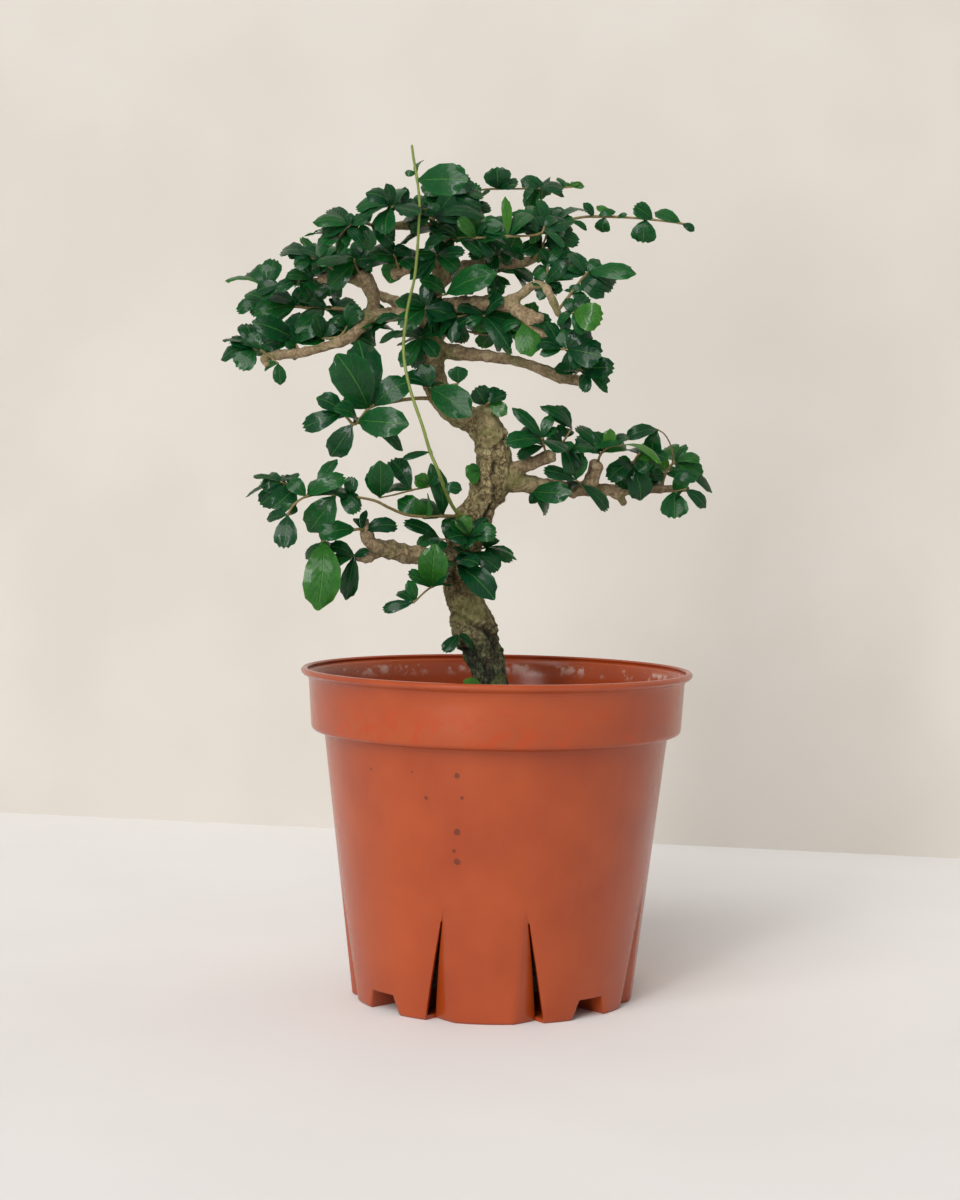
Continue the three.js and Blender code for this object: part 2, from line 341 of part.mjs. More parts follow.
    [-101, 262.8, -107, 254.5, 8.5, -2, 75], [-97, 261.8, -92.5, 267.5, 6, -3, 50],
    [-91.3, 257, -90, 248.5, 5.5, 0, 80]], [
    [-97, -7.7, 261.6], [-94, -10.3, 259.5], [-91, -9.5, 257]]],
  ["left_forks", 0.9, [[-67, -6, 266], [-67, -9.3, 268], [-70, -10, 267.7], [-73.2, -10, 267.5]], [
    [-73.2, 267.5, -76, 277, 6.5, -2, 70], [-72, 267.5, -65.5, 276, 6.5, -3, 70],
    [-63, 273, -66, 277, 3, 0, 70], [-63, 273, -61, 277, 3, 1, 70], [-64.5, 270, -51, 265, 7.5, -2, 60],
    [-63, 272.5, -57.5, 279, 6, -4, 60]], [
    [-67, -9.3, 268], [-64.5, -10, 270], [-63, -10, 273]]],
  ["centre_fan", 1, [[-26, 4, 246], [-27, -3, 247.5], [-29, -7, 248]], [
    [-29, 248, -12, 237, 13, -3, 75], [-29, 248, -33, 257.5, 9, -2, 85],
    [-17.5, 250, -18, 257, 8, 0, 85]], [
    [-27, -3, 247.5], [-22, -3.5, 249], [-17.5, -2, 250]]],
  ["front_gloss", 1, [[-27.5, 0, 284], [-27, -6, 284.5], [-25, -7, 285.5], [-23, -8, 286]], [
    [-31.5, 280, -41.5, 272.5, 9.5, -1, 60], [-31.5, 280, -19, 277, 9.5, -4, 65],
    [-31, 280.5, -30.5, 291.5, 6, 0, 80], [-23, 286, -3, 295.5, 12, -3, 58]], [
    [-27, -6, 284.5], [-29.5, -7, 282], [-31.5, -8, 280]]],
  ["under_limb", 0.8, [[-12.5, -2.5, 281], [-12.5, -5.7, 278.7], [-10, -6.5, 278], [-7, -7, 277.5]], [
    [-7, 277.5, 3.5, 264.5, 8.5, 0, 62], [-7.5, 277.6, 7, 273.5, 7, -5, 58],
    [-8, 277.7, -14.5, 274, 5, -3, 60],
    [-18.3, 277, -20.5, 266.3, 5, 0, 80], [-18, 277.1, -14.8, 265.5, 5.5, 2, 80]], [
    [-12.5, -5.7, 278.7], [-15, -6.3, 277.8], [-18.3, -6.5, 277]]],
  ["trunk_tuft", 0.9, [[-15, 0, 185], [-15, -8.5, 186], [-14, -10.5, 187], [-12, -11, 187.5]], [
    [-12, 187.5, -1.5, 190.2, 8, -2, 70], [-12.3, 187.4, -5, 195.5, 7, 1, 70],
    [-12.8, 187.3, -15.5, 196.5, 7, -1, 85],
    [-24, 186.5, -38.8, 193.5, 6.5, -3, 52], [-21.5, 186.4, -19, 196, 7, -3, 85]], [
    [-15, -8.5, 186], [-19, -9.5, 186.3], [-24, -9, 186.5]]],
];

// Twigs on the far side, leafed all round: [name, twig diameter, [x, y, z] along the twig, leaf count,
// leaf length].
const BACK_SPRAYS = [
  ["back_right_pad", 1.1, [[-17, 27, 281], [-13, 33, 289], [-6, 36, 294], [3, 37, 297]], 8, 15],
  ["back_right_low", 1, [[-22, 17, 275], [-13, 24, 271], [-2, 28, 270], [8, 30, 271]], 7, 14],
  ["back_left_pad", 1.1, [[-52, 26.5, 286.3], [-60, 31, 291], [-69, 32, 294], [-78, 30, 295]], 8, 15],
  ["back_left_low", 1, [[-40, 16, 281], [-46, 25, 275], [-55, 29, 271], [-64, 29, 269]], 7, 14],
  ["back_crown", 1, [[-24, 0, 318], [-23, 10, 321], [-19, 18, 321], [-13, 24, 319]], 7, 13],
  ["back_right_limb", 1, [[50, -1, 207.5], [53, 8, 211], [59, 16, 214], [66, 22, 215]], 7, 13],
];

// ---------------------------------------------------------------- solids

const wasm = await Module();
wasm.setup();

function solidOf(geometry) {
  const bare = geometry.clone();
  bare.deleteAttribute('normal');
  bare.deleteAttribute('uv');
  const merged = mergeVertices(bare, 1e-5);
  return new wasm.Manifold(new wasm.Mesh({
    numProp: 3,
    vertProperties: new Float32Array(merged.attributes.position.array),
    triVerts: new Uint32Array(merged.index.array),
  }));
}

function geometryOf(solid) {
  const { vertProperties, triVerts } = solid.getMesh();
  const geometry = new THREE.BufferGeometry();
  geometry.setAttribute('position', new THREE.BufferAttribute(new Float32Array(vertProperties), 3));
  geometry.setIndex(new THREE.BufferAttribute(new Uint32Array(triVerts), 1));
  const flat = geometry.toNonIndexed();
  flat.computeVertexNormals();
  return flat;
}

const joined = (solids) => solids.reduce((all, one) => all.add(one));

// A cut can leave crumbs: the piece is the largest body.
function largest(solid) {
  const bodies = solid.decompose();
  return bodies.sort((a, b) => b.volume() - a.volume())[0];
}

// A point at an angle round the pot, measured from the front (-Y) towards the right (+X).
const around = (radius, degrees, z) =>
  new THREE.Vector3(radius * Math.sin(degrees * DEGREE), -radius * Math.cos(degrees * DEGREE), z);

// A turned solid: the profile is a list of [radius, z] that starts and ends on the axis.
function turned(profile) {
  const points = profile.map(([radius, z]) => new THREE.Vector2(radius, z));
  const geometry = new THREE.LatheGeometry(points, POT_SEGMENTS);
  return solidOf(geometry.rotateX(Math.PI / 2));
}

// ---------------------------------------------------------------- pot and soil

const bodyRadius = (z) =>
  FOOT_RADIUS + (WALL_TOP_RADIUS - FOOT_RADIUS) * z / (POT_HEIGHT - BAND_HEIGHT);

const bandBottom = POT_HEIGHT - BAND_HEIGHT;
const rimBottom = POT_HEIGHT - RIM_HEIGHT;

function potOutside() {
  const round = [];
  for (let k = 0; k <= BAND_ROUND_STEPS; k += 1) {
    const angle = k / BAND_ROUND_STEPS * Math.PI / 2;
    round.push([
      BAND_LOW_RADIUS - BAND_ROUND + BAND_ROUND * Math.sin(angle),
      bandBottom + BAND_ROUND - BAND_ROUND * Math.cos(angle),
    ]);
  }
  const lipMid = POT_HEIGHT - RIM_HEIGHT / 2;
  const lip = [
    [BAND_TOP_RADIUS, rimBottom - 1], [RIM_RADIUS - RIM_ROUND, rimBottom], [RIM_RADIUS, lipMid],
    [RIM_RADIUS - RIM_ROUND, POT_HEIGHT],
  ];
  return turned([
    [0, 0], [FOOT_RADIUS - 1, 0], [bodyRadius(1), 1],
    [bodyRadius(bandBottom), bandBottom], ...round, ...lip,
    [0, POT_HEIGHT],
  ]);
}

// The space inside the pot, drawn in from the outside by the wall and, for the soil, by a gap as well.
function potInside(gap) {
  const inset = WALL + gap;
  const bandInside = BAND_LOW_RADIUS - inset - BAND_STEP;
  return turned([
    [0, FOOT_THICKNESS + gap], [bodyRadius(0) - inset - 1, FOOT_THICKNESS + gap],
    [bodyRadius(FOOT_THICKNESS + 2) - inset, FOOT_THICKNESS + 2],
    [bodyRadius(bandBottom) - inset, bandBottom], [bandInside, bandBottom + 5],
    [BAND_TOP_RADIUS - inset, rimBottom], [MOUTH_RADIUS, POT_HEIGHT], [MOUTH_RADIUS, POT_HEIGHT + 1],
    [0, POT_HEIGHT + 1],
  ]);
}

// One flute beside a panel: a pointed hollow, side = -1 or +1. The grown flute is the wall behind its face,
// which stops at the slit, so that the pot drains there.
function flute(panelAngle, side, grow) {
  const at = (radius, degrees, z) => around(radius, panelAngle + side * degrees, z);
  const corners = (more) => {
    const inwards = more / FOOT_RADIUS / DEGREE;
    return [
      at(bodyRadius(FLUTE_HEIGHT) + 0.5, FLUTE_TOP_ANGLE - inwards, FLUTE_HEIGHT + 2 * more),
      at(bodyRadius(FLUTE_HEIGHT) - 1 - more, FLUTE_TOP_ANGLE - inwards, FLUTE_HEIGHT - 1 + 2 * more),
      at(FOOT_RADIUS + 2, FLUTE_CREASE_ANGLE - inwards, -1),
      at(FOOT_RADIUS + 2, FLUTE_SLIT_ANGLE, -1),
      at(FOOT_RADIUS - FLUTE_DEPTH - more, FLUTE_SLIT_ANGLE - 1.5, -1),
    ];
  };
  return solidOf(new ConvexGeometry([...corners(0), ...corners(grow)]));
}

function flutes(grow) {
  const all = [];
  for (let k = 0; k < PANELS; k += 1) {
    const panelAngle = PANEL_TURN + k * 360 / PANELS;
    all.push(flute(panelAngle, -1, grow), flute(panelAngle, 1, grow));
  }
  return joined(all);
}

// The ring-shaped recess under the base, with a channel out to the foot's edge between each two panels.
function footRecess(grow) {
  const top = FOOT_CHANNEL_HEIGHT + grow;
  const [inner, outer] = [CENTRE_FOOT_RADIUS - grow, BASE_RECESS_RADIUS + grow];
  const ring = turned([[inner, -1], [outer, -1], [outer, top], [inner, top], [inner, -1]]);
  const low = FOOT_CHANNEL_WIDTH / 2 + FOOT_CHANNEL_FLARE + grow;
  const high = FOOT_CHANNEL_WIDTH / 2 - FOOT_CHANNEL_FLARE + grow;
  const section = new THREE.Shape([[-low, -1], [low, -1], [high, top], [-high, top]].map(
    ([x, y]) => new THREE.Vector2(x, y)));
  const channels = [];
  for (let k = 0; k < PANELS; k += 1) {
    const geometry = new THREE.ExtrudeGeometry(section, { depth: FOOT_RADIUS, bevelEnabled: false });
    geometry.translate(0, 0, BASE_RECESS_RADIUS - 4);
    geometry.rotateX(Math.PI / 2);
    geometry.rotateZ((PANEL_TURN + (k + 0.5) * 360 / PANELS) * DEGREE);
    channels.push(solidOf(geometry));
  }
  return joined([ring, ...channels]);
}

function pot() {
  const inside = potInside(0).subtract(flutes(WALL)).subtract(footRecess(WALL));
  return largest(potOutside().subtract(inside).subtract(flutes(0)).subtract(footRecess(0)));
}

// Soil fills the pot from just above the raised base to a low mound round the trunk.
function soil(woodClearance) {
  const bottom = FOOT_CHANNEL_HEIGHT + WALL + GAP;
  const [shoulder, rise] = SOIL_SHOULDER;
  const heap = turned([
    [0, bottom], [RIM_RADIUS, bottom], [RIM_RADIUS, SOIL_EDGE_HEIGHT],
    [RIM_RADIUS * shoulder, SOIL_EDGE_HEIGHT + SOIL_MOUND * rise], [0, SOIL_EDGE_HEIGHT + SOIL_MOUND],
  ]);
  const fill = potInside(GAP).subtract(flutes(WALL + GAP));
  return largest(fill.intersect(heap).subtract(woodClearance));
}

// ---------------------------------------------------------------- depth

function twist(z) {
  const above = Math.max(1, TIER_TWIST.findIndex(([height]) => height > z));
  const [[lowZ, low], [highZ, high]] = [TIER_TWIST[above - 1], TIER_TWIST[above]];
  return THREE.MathUtils.lerp(low, high, THREE.MathUtils.clamp((z - lowZ) / (highZ - lowZ), 0, 1));
}

const withDepth = ([x, y, z, ...rest]) => [x, y + twist(z) * (x - TWIST_AXIS_X), z, ...rest];

// Keeps the outline: what stands farther off is built larger by its share of the distance, nearer smaller.
const inView = (solid) => solid.warp((point) => {
  const scale = 1 + point[1] / VIEW_DISTANCE;
  point[0] = VIEW_X + (point[0] - VIEW_X) * scale;
  point[2] = VIEW_Z + (point[2] - VIEW_Z) * scale;
});

// A twig also swings forward or back as it leaves its root.
function swung(path, root, swing) {
  return path.map(([x, y, z]) => {
    const reach = Math.min(Math.hypot(x - root[0], z - root[2]), SWING_REACH);
    return withDepth([x, y + swing * reach, z]);
  });
}

// ---------------------------------------------------------------- wood and twigs

// A tapering round limb through [x, y, z, radius] stations, closed at both ends. Each ring is square to the
// path, and is carried from the ring before without twist.
function limb(stations, sides) {
  const points = stations.map(([x, y, z]) => new THREE.Vector3(x, y, z));
  const last = points.length - 1;
  const positions = [];
  const across = new THREE.Vector3(0, 1, 0);
  for (let k = 0; k <= last; k += 1) {
    const along = points[Math.min(k + 1, last)].clone().sub(points[Math.max(k - 1, 0)]).normalize();
    if (k === 0 && Math.abs(along.y) > 0.8) across.set(1, 0, 0);
    across.addScaledVector(along, -across.dot(along)).normalize();
    const other = along.clone().cross(across);
    for (let side = 0; side < sides; side += 1) {
      const angle = 2 * Math.PI * side / sides;
      const point = points[k].clone()
        .addScaledVector(across, stations[k][3] * Math.cos(angle))
        .addScaledVector(other, stations[k][3] * Math.sin(angle));
      positions.push(point.x, point.y, point.z);
    }
  }
  const faces = [];
  for (let k = 0; k < last; k += 1) {
    for (let side = 0; side < sides; side += 1) {
      const next = (side + 1) % sides;
      const [a, b] = [k * sides + side, k * sides + next];
      faces.push(a, b, b + sides, a, b + sides, a + sides);
    }
  }
  for (let side = 1; side < sides - 1; side += 1) {
    const top = last * sides;
    faces.push(0, side + 1, side, top, top + side, top + side + 1);
  }
  const geometry = new THREE.BufferGeometry();
  geometry.setAttribute('position', new THREE.BufferAttribute(new Float32Array(positions), 3));
  geometry.setIndex(faces);
  return solidOf(geometry);
}

function wood(grow) {
  return inView(joined(LIMBS.map(([name, stations]) => {
    const thick = stations.map(withDepth).map(([x, y, z, radius]) => [x, y, z, radius + grow]);
    return limb(thick, name === 'trunk' ? TRUNK_SIDES : BRANCH_SIDES);
  })));
}

function twig(path, diameter, grow) {
  return limb(path.map(([x, y, z]) => [x, y, z, diameter / 2 + grow]), TWIG_SIDES);
}

// ---------------------------------------------------------------- leaves

// Half outlines as [share of the length, share of the half width]: an egg shape, widest past the middle,
// with a plain rounded tip or with three teeth.
const PLAIN_HALF = [[0.5, 0.95], [0.97, 0.6]];
const TOOTHED_HALF = [[0.5, 0.92], [0.88, 1], [0.84, 0.4]];

function leafOutline(length, width, grow) {
  const toothed = length >= TOOTHED_LENGTH && width >= TOOTHED_WIDTH;
  const half = (toothed ? TOOTHED_HALF : PLAIN_HALF).map(
    ([along, across]) => new THREE.Vector2(along * length, across * width / 2 + grow));
  const left = half.map((point) => new THREE.Vector2(point.x, -point.y)).reverse();
  const tip = toothed ? [new THREE.Vector2(length + grow, 0)] : [];
  return new THREE.Shape([new THREE.Vector2(-3 * grow, 0), ...half, ...tip, ...left].reverse());
}

// A leaf from its base to its tip: its length runs along X, its width along Y and its face looks along Z.
function leaf({ base, tip, width, face }, grow) {
  const along = tip.clone().sub(base);
  const length = along.length();
  along.normalize();
  const normal = face.clone().addScaledVector(along, -face.dot(along)).normalize();
  const across = normal.clone().cross(along);
  const thickness = LEAF_THICKNESS + 2 * grow;
  const geometry = new THREE.ExtrudeGeometry(leafOutline(length, width, grow), {
    depth: thickness, bevelEnabled: false,
  });
  geometry.translate(0, 0, -thickness / 2);
  geometry.applyMatrix4(new THREE.Matrix4().makeBasis(along, across, normal).setPosition(base));
  return solidOf(geometry);
}

// The point of the twig nearest to (x, z) as seen from the front.
function nearest(paths, x, z) {
  let best = { distance: Infinity };
  for (const path of paths) {
    for (let k = 0; k < path.length - 1; k += 1) {
      const [start, end] = [new THREE.Vector3(...path[k]), new THREE.Vector3(...path[k + 1])];
      const step = end.clone().sub(start);
      const share = ((x - start.x) * step.x + (z - start.z) * step.z) / (step.x ** 2 + step.z ** 2 + 1e-9);
      const point = start.addScaledVector(step, THREE.MathUtils.clamp(share, 0, 1));
      const distance = Math.hypot(point.x - x, point.z - z);
      if (distance < best.distance) best = { distance, point };
    }
  }
  return best.point;
}

// A leaf of the list: its face leans back from the front by 90 degrees less its turn, towards the sky.
function listedLeaf([baseX, baseZ, tipX, tipZ, width, depth, turn], index, paths) {
  const base = nearest(paths, baseX, baseZ);
  const reach = Math.hypot(tipX - base.x, tipZ - base.z);
  const swing = LEAF_SWING * reach * Math.cos(index * GOLDEN_ANGLE * DEGREE);
  const tip = new THREE.Vector3(tipX, base.y + depth - swing, tipZ);
  const along = tip.clone().sub(base).normalize();
  const front = new THREE.Vector3(0, -1, 0).addScaledVector(along, along.y).normalize();
  const up = along.clone().cross(front);
  if (up.z < 0) up.negate();
  const lean = (90 - turn) * DEGREE;
  const face = front.multiplyScalar(Math.cos(lean)).addScaledVector(up, Math.sin(lean));
  return { base, tip, width, face };
}

// Leaves spaced round a far twig by the golden angle, reaching outwards and a little forward and up.
function whorledLeaves(path, count, length) {
  const curve = new THREE.CatmullRomCurve3(path.map((point) => new THREE.Vector3(...point)));
  const [shortest, spread, step] = FAR_LEAF_LENGTHS;
  const leaves = [];
  for (let k = 0; k < count; k += 1) {
    const share = LOW_SHARE + (1 - LOW_SHARE) * (k + 1) / count;
    const along = curve.getTangent(share);
    const side = new THREE.Vector3(0, 0, 1).cross(along).normalize();
    const rise = along.clone().cross(side);
    const angle = k * GOLDEN_ANGLE * DEGREE;
    const reach = length * (shortest + spread * ((k * step) % 1));
    const direction = side.multiplyScalar(Math.cos(angle))
      .addScaledVector(rise, FAR_LEAF_RISE * Math.sin(angle))
      .addScaledVector(along, FAR_LEAF_LEAN)
      .add(new THREE.Vector3(0, 0, FAR_LEAF_LIFT))
      .normalize();
    const base = curve.getPoint(share);
    const tip = base.clone().addScaledVector(direction, reach);
    leaves.push({ base, tip, width: reach * FAR_LEAF_WIDTH, face: new THREE.Vector3(0, 0.35, 1) });
  }
  return leaves;
}

function sprayParts() {
  const front = SPRAYS.map(([name, diameter, path, list, side], index) => {
    const swing = SPRAY_SWING[index % SPRAY_SWING.length];
    const paths = (side ? [path, side] : [path]).map((one) => swung(one, path[0], swing));
    return { name, diameter, paths, leaves: list.map((row, k) => listedLeaf(row, k, paths)) };
  });
  const back = BACK_SPRAYS.map(([name, diameter, path, count, length]) => {
    const placed = path.map(withDepth);
    return { name, diameter, paths: [placed], leaves: whorledLeaves(placed, count, length) };
  });
  return [...front, ...back];
}

function spray({ diameter, paths, leaves }, grow) {
  return inView(joined([
    ...paths.map((path) => twig(path, diameter, grow)),
    ...leaves.map((one) => leaf(one, grow)),
  ]));
}

// ---------------------------------------------------------------- assembly

const bonsai = new THREE.Group();

function addPiece(name, solid, color, roughness) {
  const material = new THREE.MeshStandardMaterial({ color, roughness, metalness: 0 });
  const mesh = new THREE.Mesh(geometryOf(solid), material);
  mesh.name = name;
  bonsai.add(mesh);
}

const woodClearance = wood(GAP);
addPiece('pot', pot(), 0xc1633a, 0.45);
addPiece('soil', soil(woodClearance), 0x3a2a20, 0.95);
addPiece('trunk_and_branches', largest(wood(0)), 0x7a6a4a, 0.9);

// Each spray gives way to the wood and to the sprays before it.
const taken = [woodClearance];
const overlap = (a, b) => a.min.every((low, k) => low < b.max[k] && b.min[k] < a.max[k]);
for (const part of sprayParts()) {
  const whole = spray(part, 0);
  const box = whole.boundingBox();
  const near = taken.filter((other) => overlap(box, other.boundingBox()));
  const fitted = largest(near.reduce((rest, other) => rest.subtract(other), whole));
  addPiece(part.name, fitted, part.name === 'water_shoot' ? 0x5f7d34 : 0x1f6132, 0.4);
  taken.push(spray(part, GAP).add(whole));
}

export default bonsai;
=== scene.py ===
# %% [markdown]
# # A small bonsai tree in a nursery pot
#
# The tree has a gnarled trunk, knobbly side branches, green twigs with glossy toothed leaves, and one
# long green water shoot. It grows in potting mix in a moulded plastic pot with a deep band, a rolled lip
# and fluted drainage slits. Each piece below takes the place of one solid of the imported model, at the
# same size.

# %% The frame
import math
from functools import partial
import bpy
import numpy as np
from mathutils import Matrix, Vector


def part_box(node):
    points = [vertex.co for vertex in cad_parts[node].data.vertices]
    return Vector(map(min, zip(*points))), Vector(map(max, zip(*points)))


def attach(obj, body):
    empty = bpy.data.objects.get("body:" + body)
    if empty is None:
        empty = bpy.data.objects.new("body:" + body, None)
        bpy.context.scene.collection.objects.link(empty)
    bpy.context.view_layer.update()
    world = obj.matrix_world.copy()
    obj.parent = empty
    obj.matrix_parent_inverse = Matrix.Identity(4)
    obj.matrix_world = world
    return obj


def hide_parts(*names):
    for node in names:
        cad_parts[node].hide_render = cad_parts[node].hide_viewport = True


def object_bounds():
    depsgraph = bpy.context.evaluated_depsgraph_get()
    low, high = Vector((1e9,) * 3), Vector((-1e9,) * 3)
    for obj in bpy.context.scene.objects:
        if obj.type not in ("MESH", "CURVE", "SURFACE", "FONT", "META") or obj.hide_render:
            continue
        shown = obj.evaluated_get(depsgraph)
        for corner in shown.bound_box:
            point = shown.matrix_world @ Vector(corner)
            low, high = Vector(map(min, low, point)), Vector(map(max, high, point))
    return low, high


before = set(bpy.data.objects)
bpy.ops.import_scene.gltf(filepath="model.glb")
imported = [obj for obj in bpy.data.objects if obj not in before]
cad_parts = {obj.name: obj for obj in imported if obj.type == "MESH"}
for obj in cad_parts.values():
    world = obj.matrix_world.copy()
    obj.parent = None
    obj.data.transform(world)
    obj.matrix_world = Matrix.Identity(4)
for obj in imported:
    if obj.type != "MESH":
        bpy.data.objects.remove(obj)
cad_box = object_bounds()
MM = 0.001
pot_low, pot_high = (np.array(corner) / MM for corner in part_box("pot"))
soil_high = np.array(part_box("soil")[1]) / MM
TREE_TOP = cad_box[1][2] / MM
print("solids to stand for:", len(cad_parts))
print("pot, mm:", pot_low.round(1), pot_high.round(1), "soil top:", soil_high[2].round(1))

# %% [markdown]
# ## Small tools
#
# A surface is a grid of points worked out as whole arrays. One helper turns such arrays into a mesh
# object, another adds a node to a material, and a third turns an sRGB hex colour into the linear one that
# shaders use.


# %% Meshes from arrays
def add_object(name, data):
    """Puts a mesh, lamp or camera in the scene."""
    holder = bpy.data.objects.new(name, data)
    bpy.context.scene.collection.objects.link(holder)
    return holder


def point_values(mesh, title, values):
    """Keeps one number per point under a title, for a material to read."""
    layer = mesh.attributes.new(title, "FLOAT", "POINT")
    layer.data.foreach_set("value", np.asarray(values, np.float32))


def new_piece(name, points, faces, materials, uv=None, slots=None, attributes=None):
    """A mesh object from points in millimetres and faces of any size; uv and attributes go by point."""
    mesh = bpy.data.meshes.new(name)
    mesh.from_pydata((points * MM).tolist(), [], [list(face) for face in faces])
    corner_points = np.empty(len(mesh.loops), np.int32)
    mesh.loops.foreach_get("vertex_index", corner_points)
    if uv is not None:
        layer = mesh.uv_layers.new(name="UVMap")
        layer.data.foreach_set("uv", uv[corner_points].astype(np.float32).ravel())
    for title, values in (attributes or {}).items():
        point_values(mesh, title, values)
    for material in materials:
        mesh.materials.append(material)
    if slots is not None:
        mesh.polygons.foreach_set("material_index", np.asarray(slots, np.int32))
    mesh.polygons.foreach_set("use_smooth", np.ones(len(mesh.polygons), bool))
    mesh.update()
    return add_object(name, mesh)


def grid_faces(rows, columns, wrap=False):
    """Quads of a grid of points stored row by row; wrap joins the last column to the first."""
    row, column = np.meshgrid(np.arange(rows - 1), np.arange(columns - (0 if wrap else 1)), indexing="ij")
    a = row * columns + column
    b = row * columns + (column + 1) % columns
    return np.stack([a, b, b + columns, a + columns], axis=-1).reshape(-1, 4)


def unit(vectors):
    """Each row of an array at a length of one."""
    return vectors / np.linalg.norm(vectors, axis=1, keepdims=True)


def stand_for(piece, node):
    """The piece rides on the one body and takes the node's place."""
    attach(piece, "root")
    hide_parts(node)


# %% Nodes and colours
def linear(hex_colour):
    """sRGB hex to linear RGBA: a channel is ((c + 0.055) / 1.055) ** 2.4, or c / 12.92 when dark."""
    channels = [int(hex_colour[k:k + 2], 16) / 255 for k in (1, 3, 5)]
    return [c / 12.92 if c < 0.04045 else ((c + 0.055) / 1.055) ** 2.4 for c in channels] + [1]


COORDINATES, SPLIT, MAPPING = "ShaderNodeTexCoord", "ShaderNodeSeparateXYZ", "ShaderNodeMapping"
NOISE, VORONOI, ATTRIBUTE = "ShaderNodeTexNoise", "ShaderNodeTexVoronoi", "ShaderNodeAttribute"
RAMP, RANGE, MIX, BUMP = "ShaderNodeValToRGB", "ShaderNodeMapRange", "ShaderNodeMix", "ShaderNodeBump"
MATH, VECTOR_MATH = "ShaderNodeMath", "ShaderNodeVectorMath"
SMOOTH = {"interpolation_type": "SMOOTHSTEP"}
COLOURS = {"data_type": "RGBA"}
FIRST, SECOND, MIXED = 6, 7, 2  # a colour mix's two colour inputs, and its colour output


def add_node(material, kind, inputs=None, stops=(), **fields):
    """Adds a node and sets its fields. An input is given a value, or is linked to another node's output.
    A colour ramp's stops are (position, hex colour) pairs."""
    node = material.node_tree.nodes.new(kind)
    for field, value in fields.items():
        setattr(node, field, value)
    for socket, value in (inputs or {}).items():
        if isinstance(value, bpy.types.NodeSocket):
            material.node_tree.links.new(value, node.inputs[socket])
        else:
            node.inputs[socket].default_value = value
    for extra in stops[2:]:
        node.color_ramp.elements.new(extra[0])
    for k, (position, colour) in enumerate(stops):
        node.color_ramp.elements[k].position = position
        node.color_ramp.elements[k].color = linear(colour)
    return node


def new_material(name, roughness, **settings):
    """A Principled material, its shader node, and add_node for that material."""
    material = bpy.data.materials.new(name)
    material.use_nodes = True
    shader = material.node_tree.nodes["Principled BSDF"]
    shader.inputs["Roughness"].default_value = roughness
    for socket, value in settings.items():
        shader.inputs[socket].default_value = value
    return material, shader, partial(add_node, material)


def finish_material(material, shader, **outputs):
    """Links outputs to the shader's inputs; an underscore in a name stands for a space."""
    for name, output in outputs.items():
        material.node_tree.links.new(output, shader.inputs[name.replace("_", " ")])
    return material


# %% Noise as whole arrays
def lattice(cells, seed):
    """A fixed random number from 0 to 1 for each whole-number cell: the fraction of a large sine."""
    mixed_up = cells @ np.array([127.1, 311.7, 74.7]) + seed * 19.19
    return np.modf(np.abs(np.sin(mixed_up)) * 43758.5453)[0]


def chances(numbers, seed):
    """The lattice's random number for each of a row of numbers."""
    return lattice(np.column_stack([numbers, numbers * 0, numbers * 0]), seed)


def noise(points, size, seed=0):
    """Smooth noise from -1 to 1: lattice numbers at a cell's eight corners, blended by a cubic ease."""
    scaled = points / size
    cell = np.floor(scaled)
    share = scaled - cell
    ease = share * share * (3 - 2 * share)
    total = np.zeros(len(points))
    for corner in np.ndindex(2, 2, 2):
        weight = np.prod(np.where(np.array(corner) == 1, ease, 1 - ease), axis=1)
        total += weight * lattice(cell + corner, seed)
    return 2 * total - 1


def rough(points, size, octaves, seed=0):
    """Noise summed over octaves, each half the size and half the height of the one before."""
    return sum(noise(points, size / 2 ** k, seed + k) / 2 ** k for k in range(octaves))


# %% [markdown]
# ## The pot
#
# The real pot is polypropylene, injection moulded in one shot: a thin tapering wall, a deep band with a
# rolled lip, and a fluted foot with slits that drain. It could be lathed and then cut with booleans, but
# those leave ragged triangles. Here its outside is one sheet, worked out as a function of two things: the
# angle round the pot and the way along the profile from the lip, down the wall and in under the base. The
# flutes, foot notches and channels are pushed into that sheet, the faces over the slits are left out, and
# Solidify gives it a wall.

# %% Sizes of the pot, in millimetres
HEIGHT = pot_high[2]
RIM_RADIUS = pot_high[0]
BAND_TOP_RADIUS = 76.8
BAND_LOW_RADIUS = 75.6
BAND_BOTTOM = HEIGHT - 25.4
BAND_DROP, BAND_FALL = 5, 18.4        # from the rim to the band's top, and from there to its lower edge
EDGE_ROUND = 2
WALL_TOP_RADIUS = 70.3
FOOT_RADIUS = 57.5
WALL = 1.6
PANEL_TURN = -2.7           # degrees, the front panel's centre, from the front towards the right
FLUTE_HEIGHT = 46
SLIT_HEIGHT = 40
FLUTE_DEPTH = 5.6
CREASE = (11.4, 14.2, 11)   # degrees from a panel's centre to its edge: foot, flute's top, plain wall
SLIT = (23.2, 14.8, 22)     # the same for a slit's middle
EVEN_OUT = 20               # height above the flute in which the columns become evenly spaced
CHANNEL_HEIGHT = 8
CHANNEL_WIDTH = 15
CHANNEL_SLOPE = 1.5         # half the width of a channel's sloping side
CENTRE_FOOT_RADIUS = 15
RECESS_RADIUS = 30
QUARTER = 90


def wall_radius(z):
    """The plain wall's radius, in a straight taper from the foot to the band."""
    return FOOT_RADIUS + (WALL_TOP_RADIUS - FOOT_RADIUS) * z / BAND_BOTTOM


